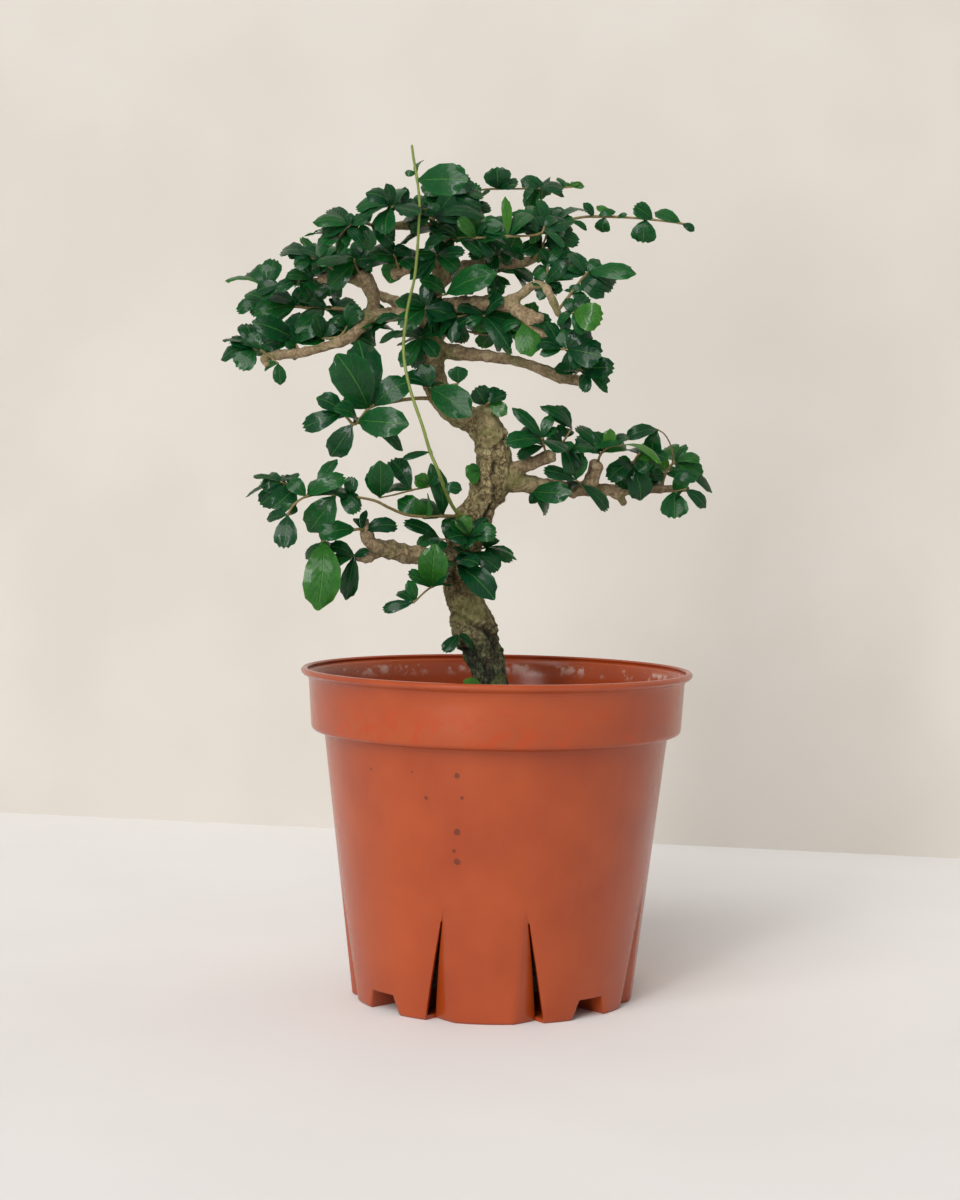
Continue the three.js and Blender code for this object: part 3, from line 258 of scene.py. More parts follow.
# %% Columns round the pot
def column_angles(z, radius=FOOT_RADIUS):
    """Angles of the columns of one quarter, from a panel's centre to the next: panel, flute, slit, wall,
    channel and back. The flute closes to a point at its top, and the channel's sides stay parallel under
    the base."""
    share = np.clip(z / FLUTE_HEIGHT, 0, 1)
    above = np.clip((z - FLUTE_HEIGHT) / EVEN_OUT, 0, 1)
    crease, slit = (foot + (top - foot) * share + (plain - top) * above
                    for foot, top, plain in (CREASE, SLIT))
    slit_in, slit_out = slit - 0.1 - 1.1 * (1 - share), slit + 0.1 + 0.6 * (1 - share)
    low, high = (QUARTER / 2 - math.degrees((CHANNEL_WIDTH / 2 + slope) / radius)
                 for slope in (CHANNEL_SLOPE, -CHANNEL_SLOPE))
    half = np.concatenate([
        np.linspace(0, crease, 7), np.linspace(crease, slit_in, 6)[1:], np.linspace(slit_out, low, 6),
        np.linspace(low, high, 4)[1:], np.linspace(high, QUARTER / 2, 4)[1:]])
    return np.concatenate([half, QUARTER - half[-2:0:-1]])


def mirrored(half):
    """A quarter's values from half a quarter's, the same on both sides of the channel."""
    return np.concatenate([half, half[-2:0:-1]])


flute_share = mirrored(np.concatenate([np.zeros(7), np.arange(1, 6) / 5, np.zeros(12)]))
channel_share = mirrored(np.concatenate([np.zeros(18), [1 / 3, 2 / 3, 1], np.ones(3)]))
COLUMNS = len(flute_share)
slit_columns = (11, COLUMNS - 12)
print("columns in a quarter:", COLUMNS)

# %% Rows down the profile
lip = [(-2.6, -0.6), (-1.8, 0), (-0.8, -0.1), (0, -0.9), (-0.1, -1.9), (-1.0, -2.8), (-2.6, -3.5),
       (-3.2, -BAND_DROP)]
lip = [(RIM_RADIUS + out, HEIGHT + up) for out, up in lip]
band = [(BAND_TOP_RADIUS + (BAND_LOW_RADIUS - BAND_TOP_RADIUS) * k / 4,
         HEIGHT - BAND_DROP - BAND_FALL * k / 4) for k in range(1, 5)]
edge = [(BAND_LOW_RADIUS - EDGE_ROUND + EDGE_ROUND * math.sin(angle),
         BAND_BOTTOM + EDGE_ROUND - EDGE_ROUND * math.cos(angle)) for angle in np.radians([67, 45, 22, 0])]
ledge = [(WALL_TOP_RADIUS + 1.4, BAND_BOTTOM), (WALL_TOP_RADIUS, BAND_BOTTOM - 0.7)]
heights = [*np.linspace(BAND_BOTTOM - 6, FLUTE_HEIGHT + 8, 6), *np.linspace(FLUTE_HEIGHT + 4, 9, 18),
           CHANNEL_HEIGHT, 6, 4, 2, 0.7]
wall = [(wall_radius(z), z) for z in heights] + [(FOOT_RADIUS - 0.7, 0.0)]
base_radii = (56, 50, 40, RECESS_RADIUS + 1.5, RECESS_RADIUS,
              CENTRE_FOOT_RADIUS + 1.5, CENTRE_FOOT_RADIUS, 9, 4)
FIRST_WALL_ROW = len(lip + band + edge + ledge)
LAST_WALL_ROW = FIRST_WALL_ROW + len(wall) - 1


def pot_sheet():
    """Points row by row. Down the wall a row is a height: each point stands at the wall's radius less the
    flute's depth there. Under the base a row is a radius: its height is the channel's or the ring's, and
    nought on a foot."""
    sheet_rows = []
    for radius, z in lip + band + edge + ledge + wall:
        depth = FLUTE_DEPTH * flute_share * np.clip(1 - z / FLUTE_HEIGHT, 0, 1)
        raised = channel_share * CHANNEL_HEIGHT if z < CHANNEL_HEIGHT else 0
        sheet_rows.append((radius - depth, column_angles(z), np.maximum(z, raised) + 0 * depth))
    for radius in base_radii:
        ring = CENTRE_FOOT_RADIUS < radius <= RECESS_RADIUS
        height = CHANNEL_HEIGHT * (channel_share if radius > RECESS_RADIUS else channel_share * 0 + ring)
        inset = FLUTE_DEPTH * flute_share * np.clip((radius - 45) / 11, 0, 1)
        sheet_rows.append((radius - inset, column_angles(0, max(radius, RECESS_RADIUS)), height))
    radii, angles, levels = (np.tile(np.array([row[k] for row in sheet_rows]), 4) for k in range(3))
    turn = np.radians(angles + PANEL_TURN + QUARTER * np.repeat(np.arange(4), COLUMNS))
    return np.stack([radii * np.sin(turn), -radii * np.cos(turn), levels], axis=-1)


# %% Faces, wall and rounded edges
def build_pot(material):
    """The sheet's quads, less those over the slits, and a fan at the base's centre; then wall and edges."""
    sheet = pot_sheet()
    rows, columns = sheet.shape[:2]
    points = np.vstack([sheet.reshape(-1, 3), [[0, 0, 0]]])
    quads = grid_faces(rows, columns, wrap=True)[:, ::-1]
    row_of, column_of = np.divmod(quads.min(axis=1), columns)
    column_of = np.where(np.ptp(quads % columns, axis=1) > 1, columns - 1, column_of) % COLUMNS
    level = points[quads][:, :, 2].mean(axis=1)
    on_wall = (row_of >= FIRST_WALL_ROW) & (row_of < LAST_WALL_ROW)
    slits = np.isin(column_of, slit_columns) & on_wall & (level < SLIT_HEIGHT)
    last = (rows - 1) * columns + np.arange(columns)
    fan = np.stack([np.roll(last, -1), last, np.full(columns, len(points) - 1)], axis=-1)
    piece = new_piece("nursery_pot", points, [*quads[~slits], *fan], [material])
    shell = piece.modifiers.new("moulded wall", "SOLIDIFY")
    shell.thickness = WALL * MM
    shell.offset = -1
    soft = piece.modifiers.new("moulded edges", "BEVEL")
    soft.width = 0.3 * MM
    soft.segments = 2
    soft.limit_method = "ANGLE"
    soft.angle_limit = math.radians(38)
    print("pot sheet:", rows, "rows of", columns, "points,", slits.sum(), "faces left out over the slits")
    return piece


# %% [markdown]
# ### Moulded polypropylene
#
# Terracotta-coloured polypropylene from a polished mould: a soft satin gloss, no grain, faint paler
# streaks of painted sheen that run up the wall, and a little dried hard water. Droplets leave small
# darker spots, and lime builds up as a pale film on the inside of the rim.

# %% Pot material
# [x, z, radius] of the dark rings left by drops that ran down the front, in millimetres.
DRIED_DROPS = [(-14.3, 98.0, 1.1), (-12.3, 89.5, 0.7), (-14.0, 76.1, 1.3), (-15.1, 68.6, 0.7),
               (-13.9, 64.4, 1.3), (-48.1, 97.8, 0.6), (-31.7, 98.4, 0.5), (-26.1, 88.7, 0.7)]
SMUDGE_FOOT, SMUDGE_TOP = (107, 110), (127, 116)    # heights over which the band's smudges come and go
LIME_FOOT, LIME_EDGE = (124, 133), (75.8, 74.8)     # the height and the radius at which lime begins


def polypropylene():
    """Orange-brown polypropylene. Colour wanders by a shade over 30 mm, with streaks of painted sheen
    stretched up the wall, smudges low on the band, dried drops down the front and lime inside the rim."""
    material, shader, add = new_material("moulded terracotta polypropylene", 0.24, IOR=1.49)
    place = add(COORDINATES).outputs["Object"]
    cloud = add(NOISE, {"Vector": place, "Scale": 1 / (30.3 * MM), "Detail": 3.0}).outputs["Fac"]
    body = add(RAMP, {"Fac": cloud}, [(0.3, "#963b15"), (0.75, "#a6471c")]).outputs["Color"]

    # Painted sheen: faint paler streaks stretched up the wall, drawn into the colour rather than made by the
    # lights.
    stretched = add(MAPPING, {"Vector": place, "Scale": (1, 1, 0.12)}).outputs["Vector"]
    sheen_streaks = add(NOISE, {"Vector": stretched, "Scale": 1 / (5.56 * MM), "Detail": 2.0}).outputs["Fac"]
    mark = add(RANGE, {"Value": sheen_streaks, "From Min": 0.5, "From Max": 0.8, "To Max": 0.25},
               **SMOOTH).outputs[0]
    body = add(MIX, {0: mark, FIRST: body, SECOND: linear("#a04622")}, **COLOURS).outputs[MIXED]

    ragged = add(NOISE, {"Vector": place, "Scale": 1 / (1.67 * MM), "Detail": 3.0}).outputs["Fac"]
    ragged = add(MATH, {0: ragged, 1: 0.8 * MM}, operation="MULTIPLY").outputs[0]
    for x, z, size in DRIED_DROPS:
        y = -math.sqrt(wall_radius(z) ** 2 - x ** 2)
        away = add(VECTOR_MATH, {0: place, 1: (x * MM, y * MM, z * MM)},
                   operation="DISTANCE").outputs["Value"]
        away = add(MATH, {0: away, 1: ragged}, operation="ADD").outputs[0]
        spot = add(RANGE, {"Value": away, "From Min": (size + 0.55) * MM, "From Max": (size + 0.25) * MM,
                           "To Max": 0.85}, **SMOOTH).outputs[0]
        body = add(MIX, {0: spot, FIRST: body, SECOND: linear("#5d2613")}, **COLOURS).outputs[MIXED]

    level = add(SPLIT, {"Vector": place}).outputs["Z"]
    flat = add(VECTOR_MATH, {0: place, 1: (1, 1, 0)}, operation="MULTIPLY").outputs[0]
    radius = add(VECTOR_MATH, {0: flat}, operation="LENGTH").outputs["Value"]
    above, below, high, inside = (
        add(RANGE, {"Value": measure, "From Min": start * MM, "From Max": end * MM}, **SMOOTH).outputs[0]
        for measure, (start, end) in ((level, SMUDGE_FOOT), (level, SMUDGE_TOP), (level, LIME_FOOT),
                                      (radius, LIME_EDGE)))
    smudge = add(NOISE, {"Vector": place, "Scale": 1 / (8.33 * MM), "Detail": 4.0,
                         "Roughness": 0.6}).outputs["Fac"]
    wiped = add(RANGE, {"Value": smudge, "From Min": 0.53, "From Max": 0.56, "To Max": 0.7},
                **SMOOTH).outputs[0]
    for share in (above, below):
        wiped = add(MATH, {0: wiped, 1: share}, operation="MULTIPLY").outputs[0]
    body = add(MIX, {0: wiped, FIRST: body, SECOND: linear("#a83c0c")}, **COLOURS).outputs[MIXED]

    crust = add(NOISE, {"Vector": place, "Scale": 1 / (6.67 * MM), "Detail": 6.0,
                        "Roughness": 0.65}).outputs["Fac"]
    crust = add(RANGE, {"Value": crust, "From Min": 0.46, "From Max": 0.56}, **SMOOTH).outputs[0]
    lime = add(RANGE, {"Value": smudge, "From Min": 0.46, "From Max": 0.54}, **SMOOTH).outputs[0]
    for share in (inside, high, crust):
        lime = add(MATH, {0: lime, 1: share}, operation="MULTIPLY").outputs[0]
    body = add(MIX, {0: lime, FIRST: body, SECOND: linear("#e6d9cb")}, **COLOURS).outputs[MIXED]

    worn = add(RANGE, {"Value": cloud, "From Min": 0.3, "From Max": 0.7, "To Min": 0.21, "To Max": 0.265},
               **SMOOTH).outputs[0]
    grain = add(NOISE, {"Vector": place, "Scale": 1 / (0.4 * MM), "Detail": 2.0}).outputs["Fac"]
    normal = add(BUMP, {"Height": grain, "Strength": 0.12, "Distance": 0.2 * MM}).outputs["Normal"]
    return finish_material(material, shader, Base_Color=body, Roughness=worn, Normal=normal)


pot_piece = build_pot(polypropylene())
stand_for(pot_piece, "pot")

# %% [markdown]
# ## The soil
#
# Potting mix is peat and composted bark with a few white perlite grains. The bulk is one closed body: a
# lathe-like grid whose top is a heap raised by noise in crumbs of about 2 mm. Loose crumbs and perlite
# lie on it as small lumps of twenty faces each.

# %% Soil body
SOIL_BOTTOM = 10.5
SOIL_REACH = 68.0
SOIL_EDGE = 105.8
SOIL_RISE = 5.0
SOIL_GAP = 0.4              # between the soil and the pot's wall
CRUMB_SIZE, CRUMB_HEIGHT = 6.0, 0.88
SOIL_RINGS, SOIL_COLUMNS = 76, 220
soil_rng = np.random.default_rng(7)


def soil_height(x, y):
    """A low mound that falls from the middle to the wall, with crumbs of 6 mm down to under 1 mm on it."""
    reach = np.clip(np.hypot(x, y) / SOIL_REACH, 0, 1)
    flat = np.stack([x, y, 0 * x], axis=-1).reshape(-1, 3)
    crumbs = rough(flat, CRUMB_SIZE, 4, seed=3).reshape(x.shape)
    return SOIL_EDGE + SOIL_RISE * np.cos(reach * math.pi / 2) + CRUMB_HEIGHT * crumbs


def build_soil(materials):
    """Rings from the middle of the top out to the wall, down inside it and in again under the bottom."""
    turn = np.linspace(0, 2 * math.pi, SOIL_COLUMNS, endpoint=False)
    top_radii = np.linspace(0.6, SOIL_REACH, SOIL_RINGS)
    radius, angle = np.meshgrid(top_radii, turn, indexing="ij")
    x, y = radius * np.sin(angle), -radius * np.cos(angle)
    top = np.stack([x, y, soil_height(x, y)], axis=-1)
    profile = [(wall_radius(z) - WALL - SOIL_GAP, z) for z in (104, 80, 60, 47)]
    profile += [(50.5, 44), (50.5, 16), (49, SOIL_BOTTOM), (20, SOIL_BOTTOM), (1, SOIL_BOTTOM)]
    side = [np.stack([reach * np.sin(turn), -reach * np.cos(turn), np.full_like(turn, z)], axis=-1)
            for reach, z in profile]
    grid = np.concatenate([top, np.array(side)])
    rows, columns = grid.shape[:2]
    points = np.vstack([grid.reshape(-1, 3), top[0].mean(axis=0, keepdims=True), [[0, 0, SOIL_BOTTOM]]])
    quads = grid_faces(rows, columns, wrap=True)[:, ::-1]
    ends = np.arange(columns)
    last = (rows - 1) * columns + ends
    fans = [*np.stack([ends, np.roll(ends, -1), np.full(columns, rows * columns)], axis=-1),
            *np.stack([np.roll(last, -1), last, np.full(columns, rows * columns + 1)], axis=-1)]
    faces = [*quads, *fans]
    lumps, lump_faces, lump_slots = scatter_lumps(len(points))
    return new_piece("potting_mix", np.vstack([points, lumps]), [*faces, *lump_faces], materials,
                     slots=[0] * len(faces) + [*lump_slots])


# %% Loose crumbs
def ball_shape():
    """The twelve corners and twenty faces of an icosahedron: three golden rectangles at right angles."""
    golden = (1 + 5 ** 0.5) / 2
    corners = np.array([[-1, golden, 0], [1, golden, 0], [-1, -golden, 0], [1, -golden, 0],
                        [0, -1, golden], [0, 1, golden], [0, -1, -golden], [0, 1, -golden],
                        [golden, 0, -1], [golden, 0, 1], [-golden, 0, -1], [-golden, 0, 1]])
    corners = corners / math.hypot(1, golden)
    faces = np.array([[0, 11, 5], [0, 5, 1], [0, 1, 7], [0, 7, 10], [0, 10, 11],
                      [1, 5, 9], [5, 11, 4], [11, 10, 2], [10, 7, 6], [7, 1, 8],
                      [3, 9, 4], [3, 4, 2], [3, 2, 6], [3, 6, 8], [3, 8, 9],
                      [4, 9, 5], [2, 4, 11], [6, 2, 10], [8, 6, 7], [9, 8, 1]])
    return corners, faces


def scatter_lumps(first_point, count=620):
    """Uneven half-sunk lumps: long flat bark crumbs, and every sixth one a round perlite grain."""
    corners, faces = ball_shape()
    reach = 66 * np.sqrt(soil_rng.random(count) * 0.97 + 0.03)
    turn = soil_rng.random(count) * 2 * math.pi
    x, y = reach * np.cos(turn), reach * np.sin(turn)
    perlite = np.arange(count) % 6 == 0
    size = np.where(perlite, soil_rng.uniform(0.7, 1.5, count), soil_rng.uniform(0.8, 2.6, count))
    squash = np.where(perlite[:, None], [[1, 0.9, 0.85]], np.stack(
        [np.ones(count), soil_rng.uniform(0.35, 0.8, count), soil_rng.uniform(0.25, 0.6, count)], axis=-1))
    uneven = 1 + 0.25 * soil_rng.standard_normal((count, len(corners), 1))
    lumps = corners * uneven * squash[:, None] * size[:, None, None]
    spin = soil_rng.random(count) * math.pi
    tip = soil_rng.normal(0, 0.35, count)
    lumps[..., 2] += lumps[..., 0] * tip[:, None]
    turned = np.stack([lumps[..., 0] * np.cos(spin)[:, None] - lumps[..., 1] * np.sin(spin)[:, None],
                       lumps[..., 0] * np.sin(spin)[:, None] + lumps[..., 1] * np.cos(spin)[:, None],
                       lumps[..., 2]], axis=-1)
    middle = np.stack([x, y, soil_height(x, y) + 0.15 * size], axis=-1)
    points = (turned + middle[:, None]).reshape(-1, 3)
    all_faces = (faces + len(corners) * np.arange(count)[:, None, None]).reshape(-1, 3) + first_point
    return points, all_faces, np.repeat(np.where(perlite, 2, 1), len(faces))


# %% [markdown]
# ### Potting mix finishes
#
# Damp peat is nearly black-brown and quite matt; bark crumbs are a warmer brown; perlite is expanded
# glass, which is white and matt.

# %% Soil materials
def peat(name, dark, light, grain_mm):
    """Matt organic crumbs: two browns mixed by noise of the crumb's size, with a bump of the same grain."""
    material, shader, add = new_material(name, 0.93)
    place = add(COORDINATES).outputs["Object"]
    grain = add(NOISE, {"Vector": place, "Scale": 1 / (grain_mm * MM), "Detail": 5.0}).outputs["Fac"]
    colour = add(RAMP, {"Fac": grain}, [(0.35, dark), (0.7, light)]).outputs["Color"]
    normal = add(BUMP, {"Height": grain, "Strength": 0.7, "Distance": 0.6 * MM}).outputs["Normal"]
    return finish_material(material, shader, Base_Color=colour, Normal=normal)


soil_piece = build_soil([peat("damp peat", "#1d130c", "#4a3424", 1.6),
                         peat("composted bark", "#3b2616", "#7a5637", 2.5),
                         peat("expanded perlite", "#c9c4b8", "#efece4", 1.2)])
stand_for(soil_piece, "soil")
print("soil faces:", len(soil_piece.data.polygons))

# %% [markdown]
# ## The shape of the tree
#
# The tree is drawn as a fan seen from the front and then given depth, with the same points as the solid
# model: old limbs by their radius at each station, and green twigs with their leaves. Lists like these
# are how a bonsai grower would note a tree: where each branch bends, how thick it is, and where each
# leaf's base and tip lie.

# %% Old limbs
# [name, [x, y, z, radius] at each station], in millimetres.
LIMBS = [
    ["trunk",
     [[1, 0, 84, 7], [1.5, 0, 100, 8.6], [0.5, 0, 113, 7.8], [-1.2, 0, 124, 6.8], [-3.3, 0, 133, 6.8],
      [-6, 0, 141, 7.8], [-9.3, 0, 150, 8.4], [-12.6, 0, 159, 7.9], [-15, 0, 167, 7.6],
      [-16, 1, 176, 7.4], [-14.5, 2, 185, 7.2], [-11.5, 2, 193, 6.9], [-8, 1, 200, 6.8],
      [-4.5, 0, 207.5, 6.9], [-2.5, 0, 215, 7], [-3, 0, 223, 6.8], [-5.5, 1, 230, 6.2],
      [-11, 3, 235, 5.3], [-18, 4, 237.5, 4.9], [-24, 5, 243, 4.8], [-27.5, 5, 251, 4.9],
      [-28.3, 4, 260, 5.2], [-29, 3, 269, 5], [-29.5, 2, 279, 4.6], [-28, 1, 288, 4],
      [-24.5, 1, 297, 3.6], [-23, 0, 306, 3], [-25, 0, 315, 2.6], [-24, 0, 325, 2]]],
    ["root_right",
     [[1, 0, 106, 6.5], [11, -5, 100, 4.6], [25, -11, 92, 3.4], [38, -14, 78, 2]]],
    ["root_left",
     [[0, 0, 106, 6.5], [-11, -6, 101, 4.6], [-25, -10, 93, 3.4], [-36, -13, 80, 2]]],
    ["root_back",
     [[1, 0, 106, 6.5], [-4, 11, 100, 4.6], [-9, 26, 91, 3.2], [-12, 38, 76, 2]]],
    ["old_leader_stub",
     [[-4, 0, 227, 5.6], [-5.5, -1, 235, 4.9], [-6, -2, 240, 4]]],
    ["lower_left",
     [[-15, 0, 177, 5], [-24, -3, 178.5, 3.7], [-34, -5, 180, 3.4], [-44, -6, 181.5, 3.7],
      [-51, -7, 183.5, 3.4], [-54, -7, 188, 2.6], [-55, -7, 194, 1.8]]],
    ["lower_left_snag",
     [[-48, -6, 182, 3], [-53, -6, 179.3, 2.4], [-58, -7, 178.3, 1.6]]],
    ["right",
     [[-3, 0, 211, 5.6], [5, -2, 211, 4.6], [12, -3, 209.5, 3.6], [21, -3, 208.8, 3.1],
      [30, -3, 207.5, 3.2], [40, -2, 207.8, 2.4], [50, -1, 207.5, 2.2], [60, 0, 208, 2],
      [70, 1, 208.5, 1.7], [77, 1, 208.6, 1.3]]],
    ["right_stub",
     [[-1, -1, 210, 4.6], [4, -3, 213.5, 3.6], [9, -4, 216.5, 2.9], [15, -6, 218.8, 2.7],
      [21, -7, 221.5, 2.6]]],
    ["right_hook",
     [[29, -3, 207.5, 3.1], [35, -5, 208.8, 3.2], [38, -6, 213, 3], [39.5, -6, 218.5, 2.5]]],
    ["right_snag",
     [[45, -1.5, 207.6, 2], [49, -2, 205, 1.8], [51, -2, 202, 1.2]]],
    ["mid_right",
     [[-28, 4, 263.5, 4.6], [-18, 6, 262.5, 3.2], [-8, 8, 261.5, 2.4], [2, 9, 260.2, 2.2],
      [11, 9, 258.2, 2.1], [17, 9, 256, 2.5], [23, 8, 253.8, 2.7], [30, 8, 252, 2.3],
      [36, 8, 251.5, 1.6]]],
    ["upper_right",
     [[-29, 2, 277, 4.4], [-20, -1, 281.5, 3.4], [-10, -3, 282.3, 3.1], [0, -4, 282.5, 3],
      [8, -5, 279.5, 2.6], [16, -6, 276.5, 2.1]]],
    ["upper_right_drop",
     [[5, -5, 280.5, 2], [12, -6, 274.5, 1.9], [18, -6, 269, 1.8], [23, -6, 265.5, 1.5]]],
    ["upper_right_hook",
     [[1, -4, 283, 2.4], [7, -4, 286, 2], [12, -4, 290, 1.9], [17, -5, 289.5, 1.9], [20, -6, 285, 1.7],
      [23, -6, 278.5, 1.5]]],
    ["inner_right",
     [[-28, 1, 289, 3.4], [-18, 10, 296, 2.8], [-5, 16, 299, 2.4], [8, 18, 299.5, 2.1],
      [13, 17, 301, 1.7]]],
    ["left",
     [[-29.5, 2, 278, 4], [-38, -1, 278.5, 3], [-47, -3, 277.6, 2.8], [-54, -4, 277, 2.8],
      [-58, -5, 272, 2.6], [-63, -6, 267.5, 2.4], [-72, -7, 264.2, 1.9], [-82, -7, 261.6, 2],
      [-92, -7, 260.4, 2], [-96.5, -7, 259, 1.8], [-95.5, -7, 256.2, 1.4]]],
    ["left_riser",
     [[-53, -4, 277, 2.6], [-52.5, -3, 284, 2.5], [-55, -2, 290, 3.2], [-58, -2, 294.5, 2]]],
    ["left_high",
     [[-24.5, 0, 311, 2.2], [-33, -1, 314, 1.9], [-43, -3, 313.5, 1.7], [-52, -4, 313, 1.4]]],
    ["left_mid",
     [[-55, -3, 290, 2.4], [-65, -5, 292, 1.8], [-75, -6, 291.5, 2]]],
    ["pale",
     [[-24, -1, 303, 2.2], [-28, -4, 300.3, 2.4], [-35, -5, 297.5, 2.1], [-44.5, -5, 293.8, 2.4]]],
    ["back_right",
     [[-28, 4, 266, 3.2], [-22, 17, 275, 2.6], [-15, 30, 284, 2]]],
    ["back_left",
     [[-29, 3, 272, 3], [-40, 16, 281, 2.3], [-54, 28, 287, 1.8]]],
]

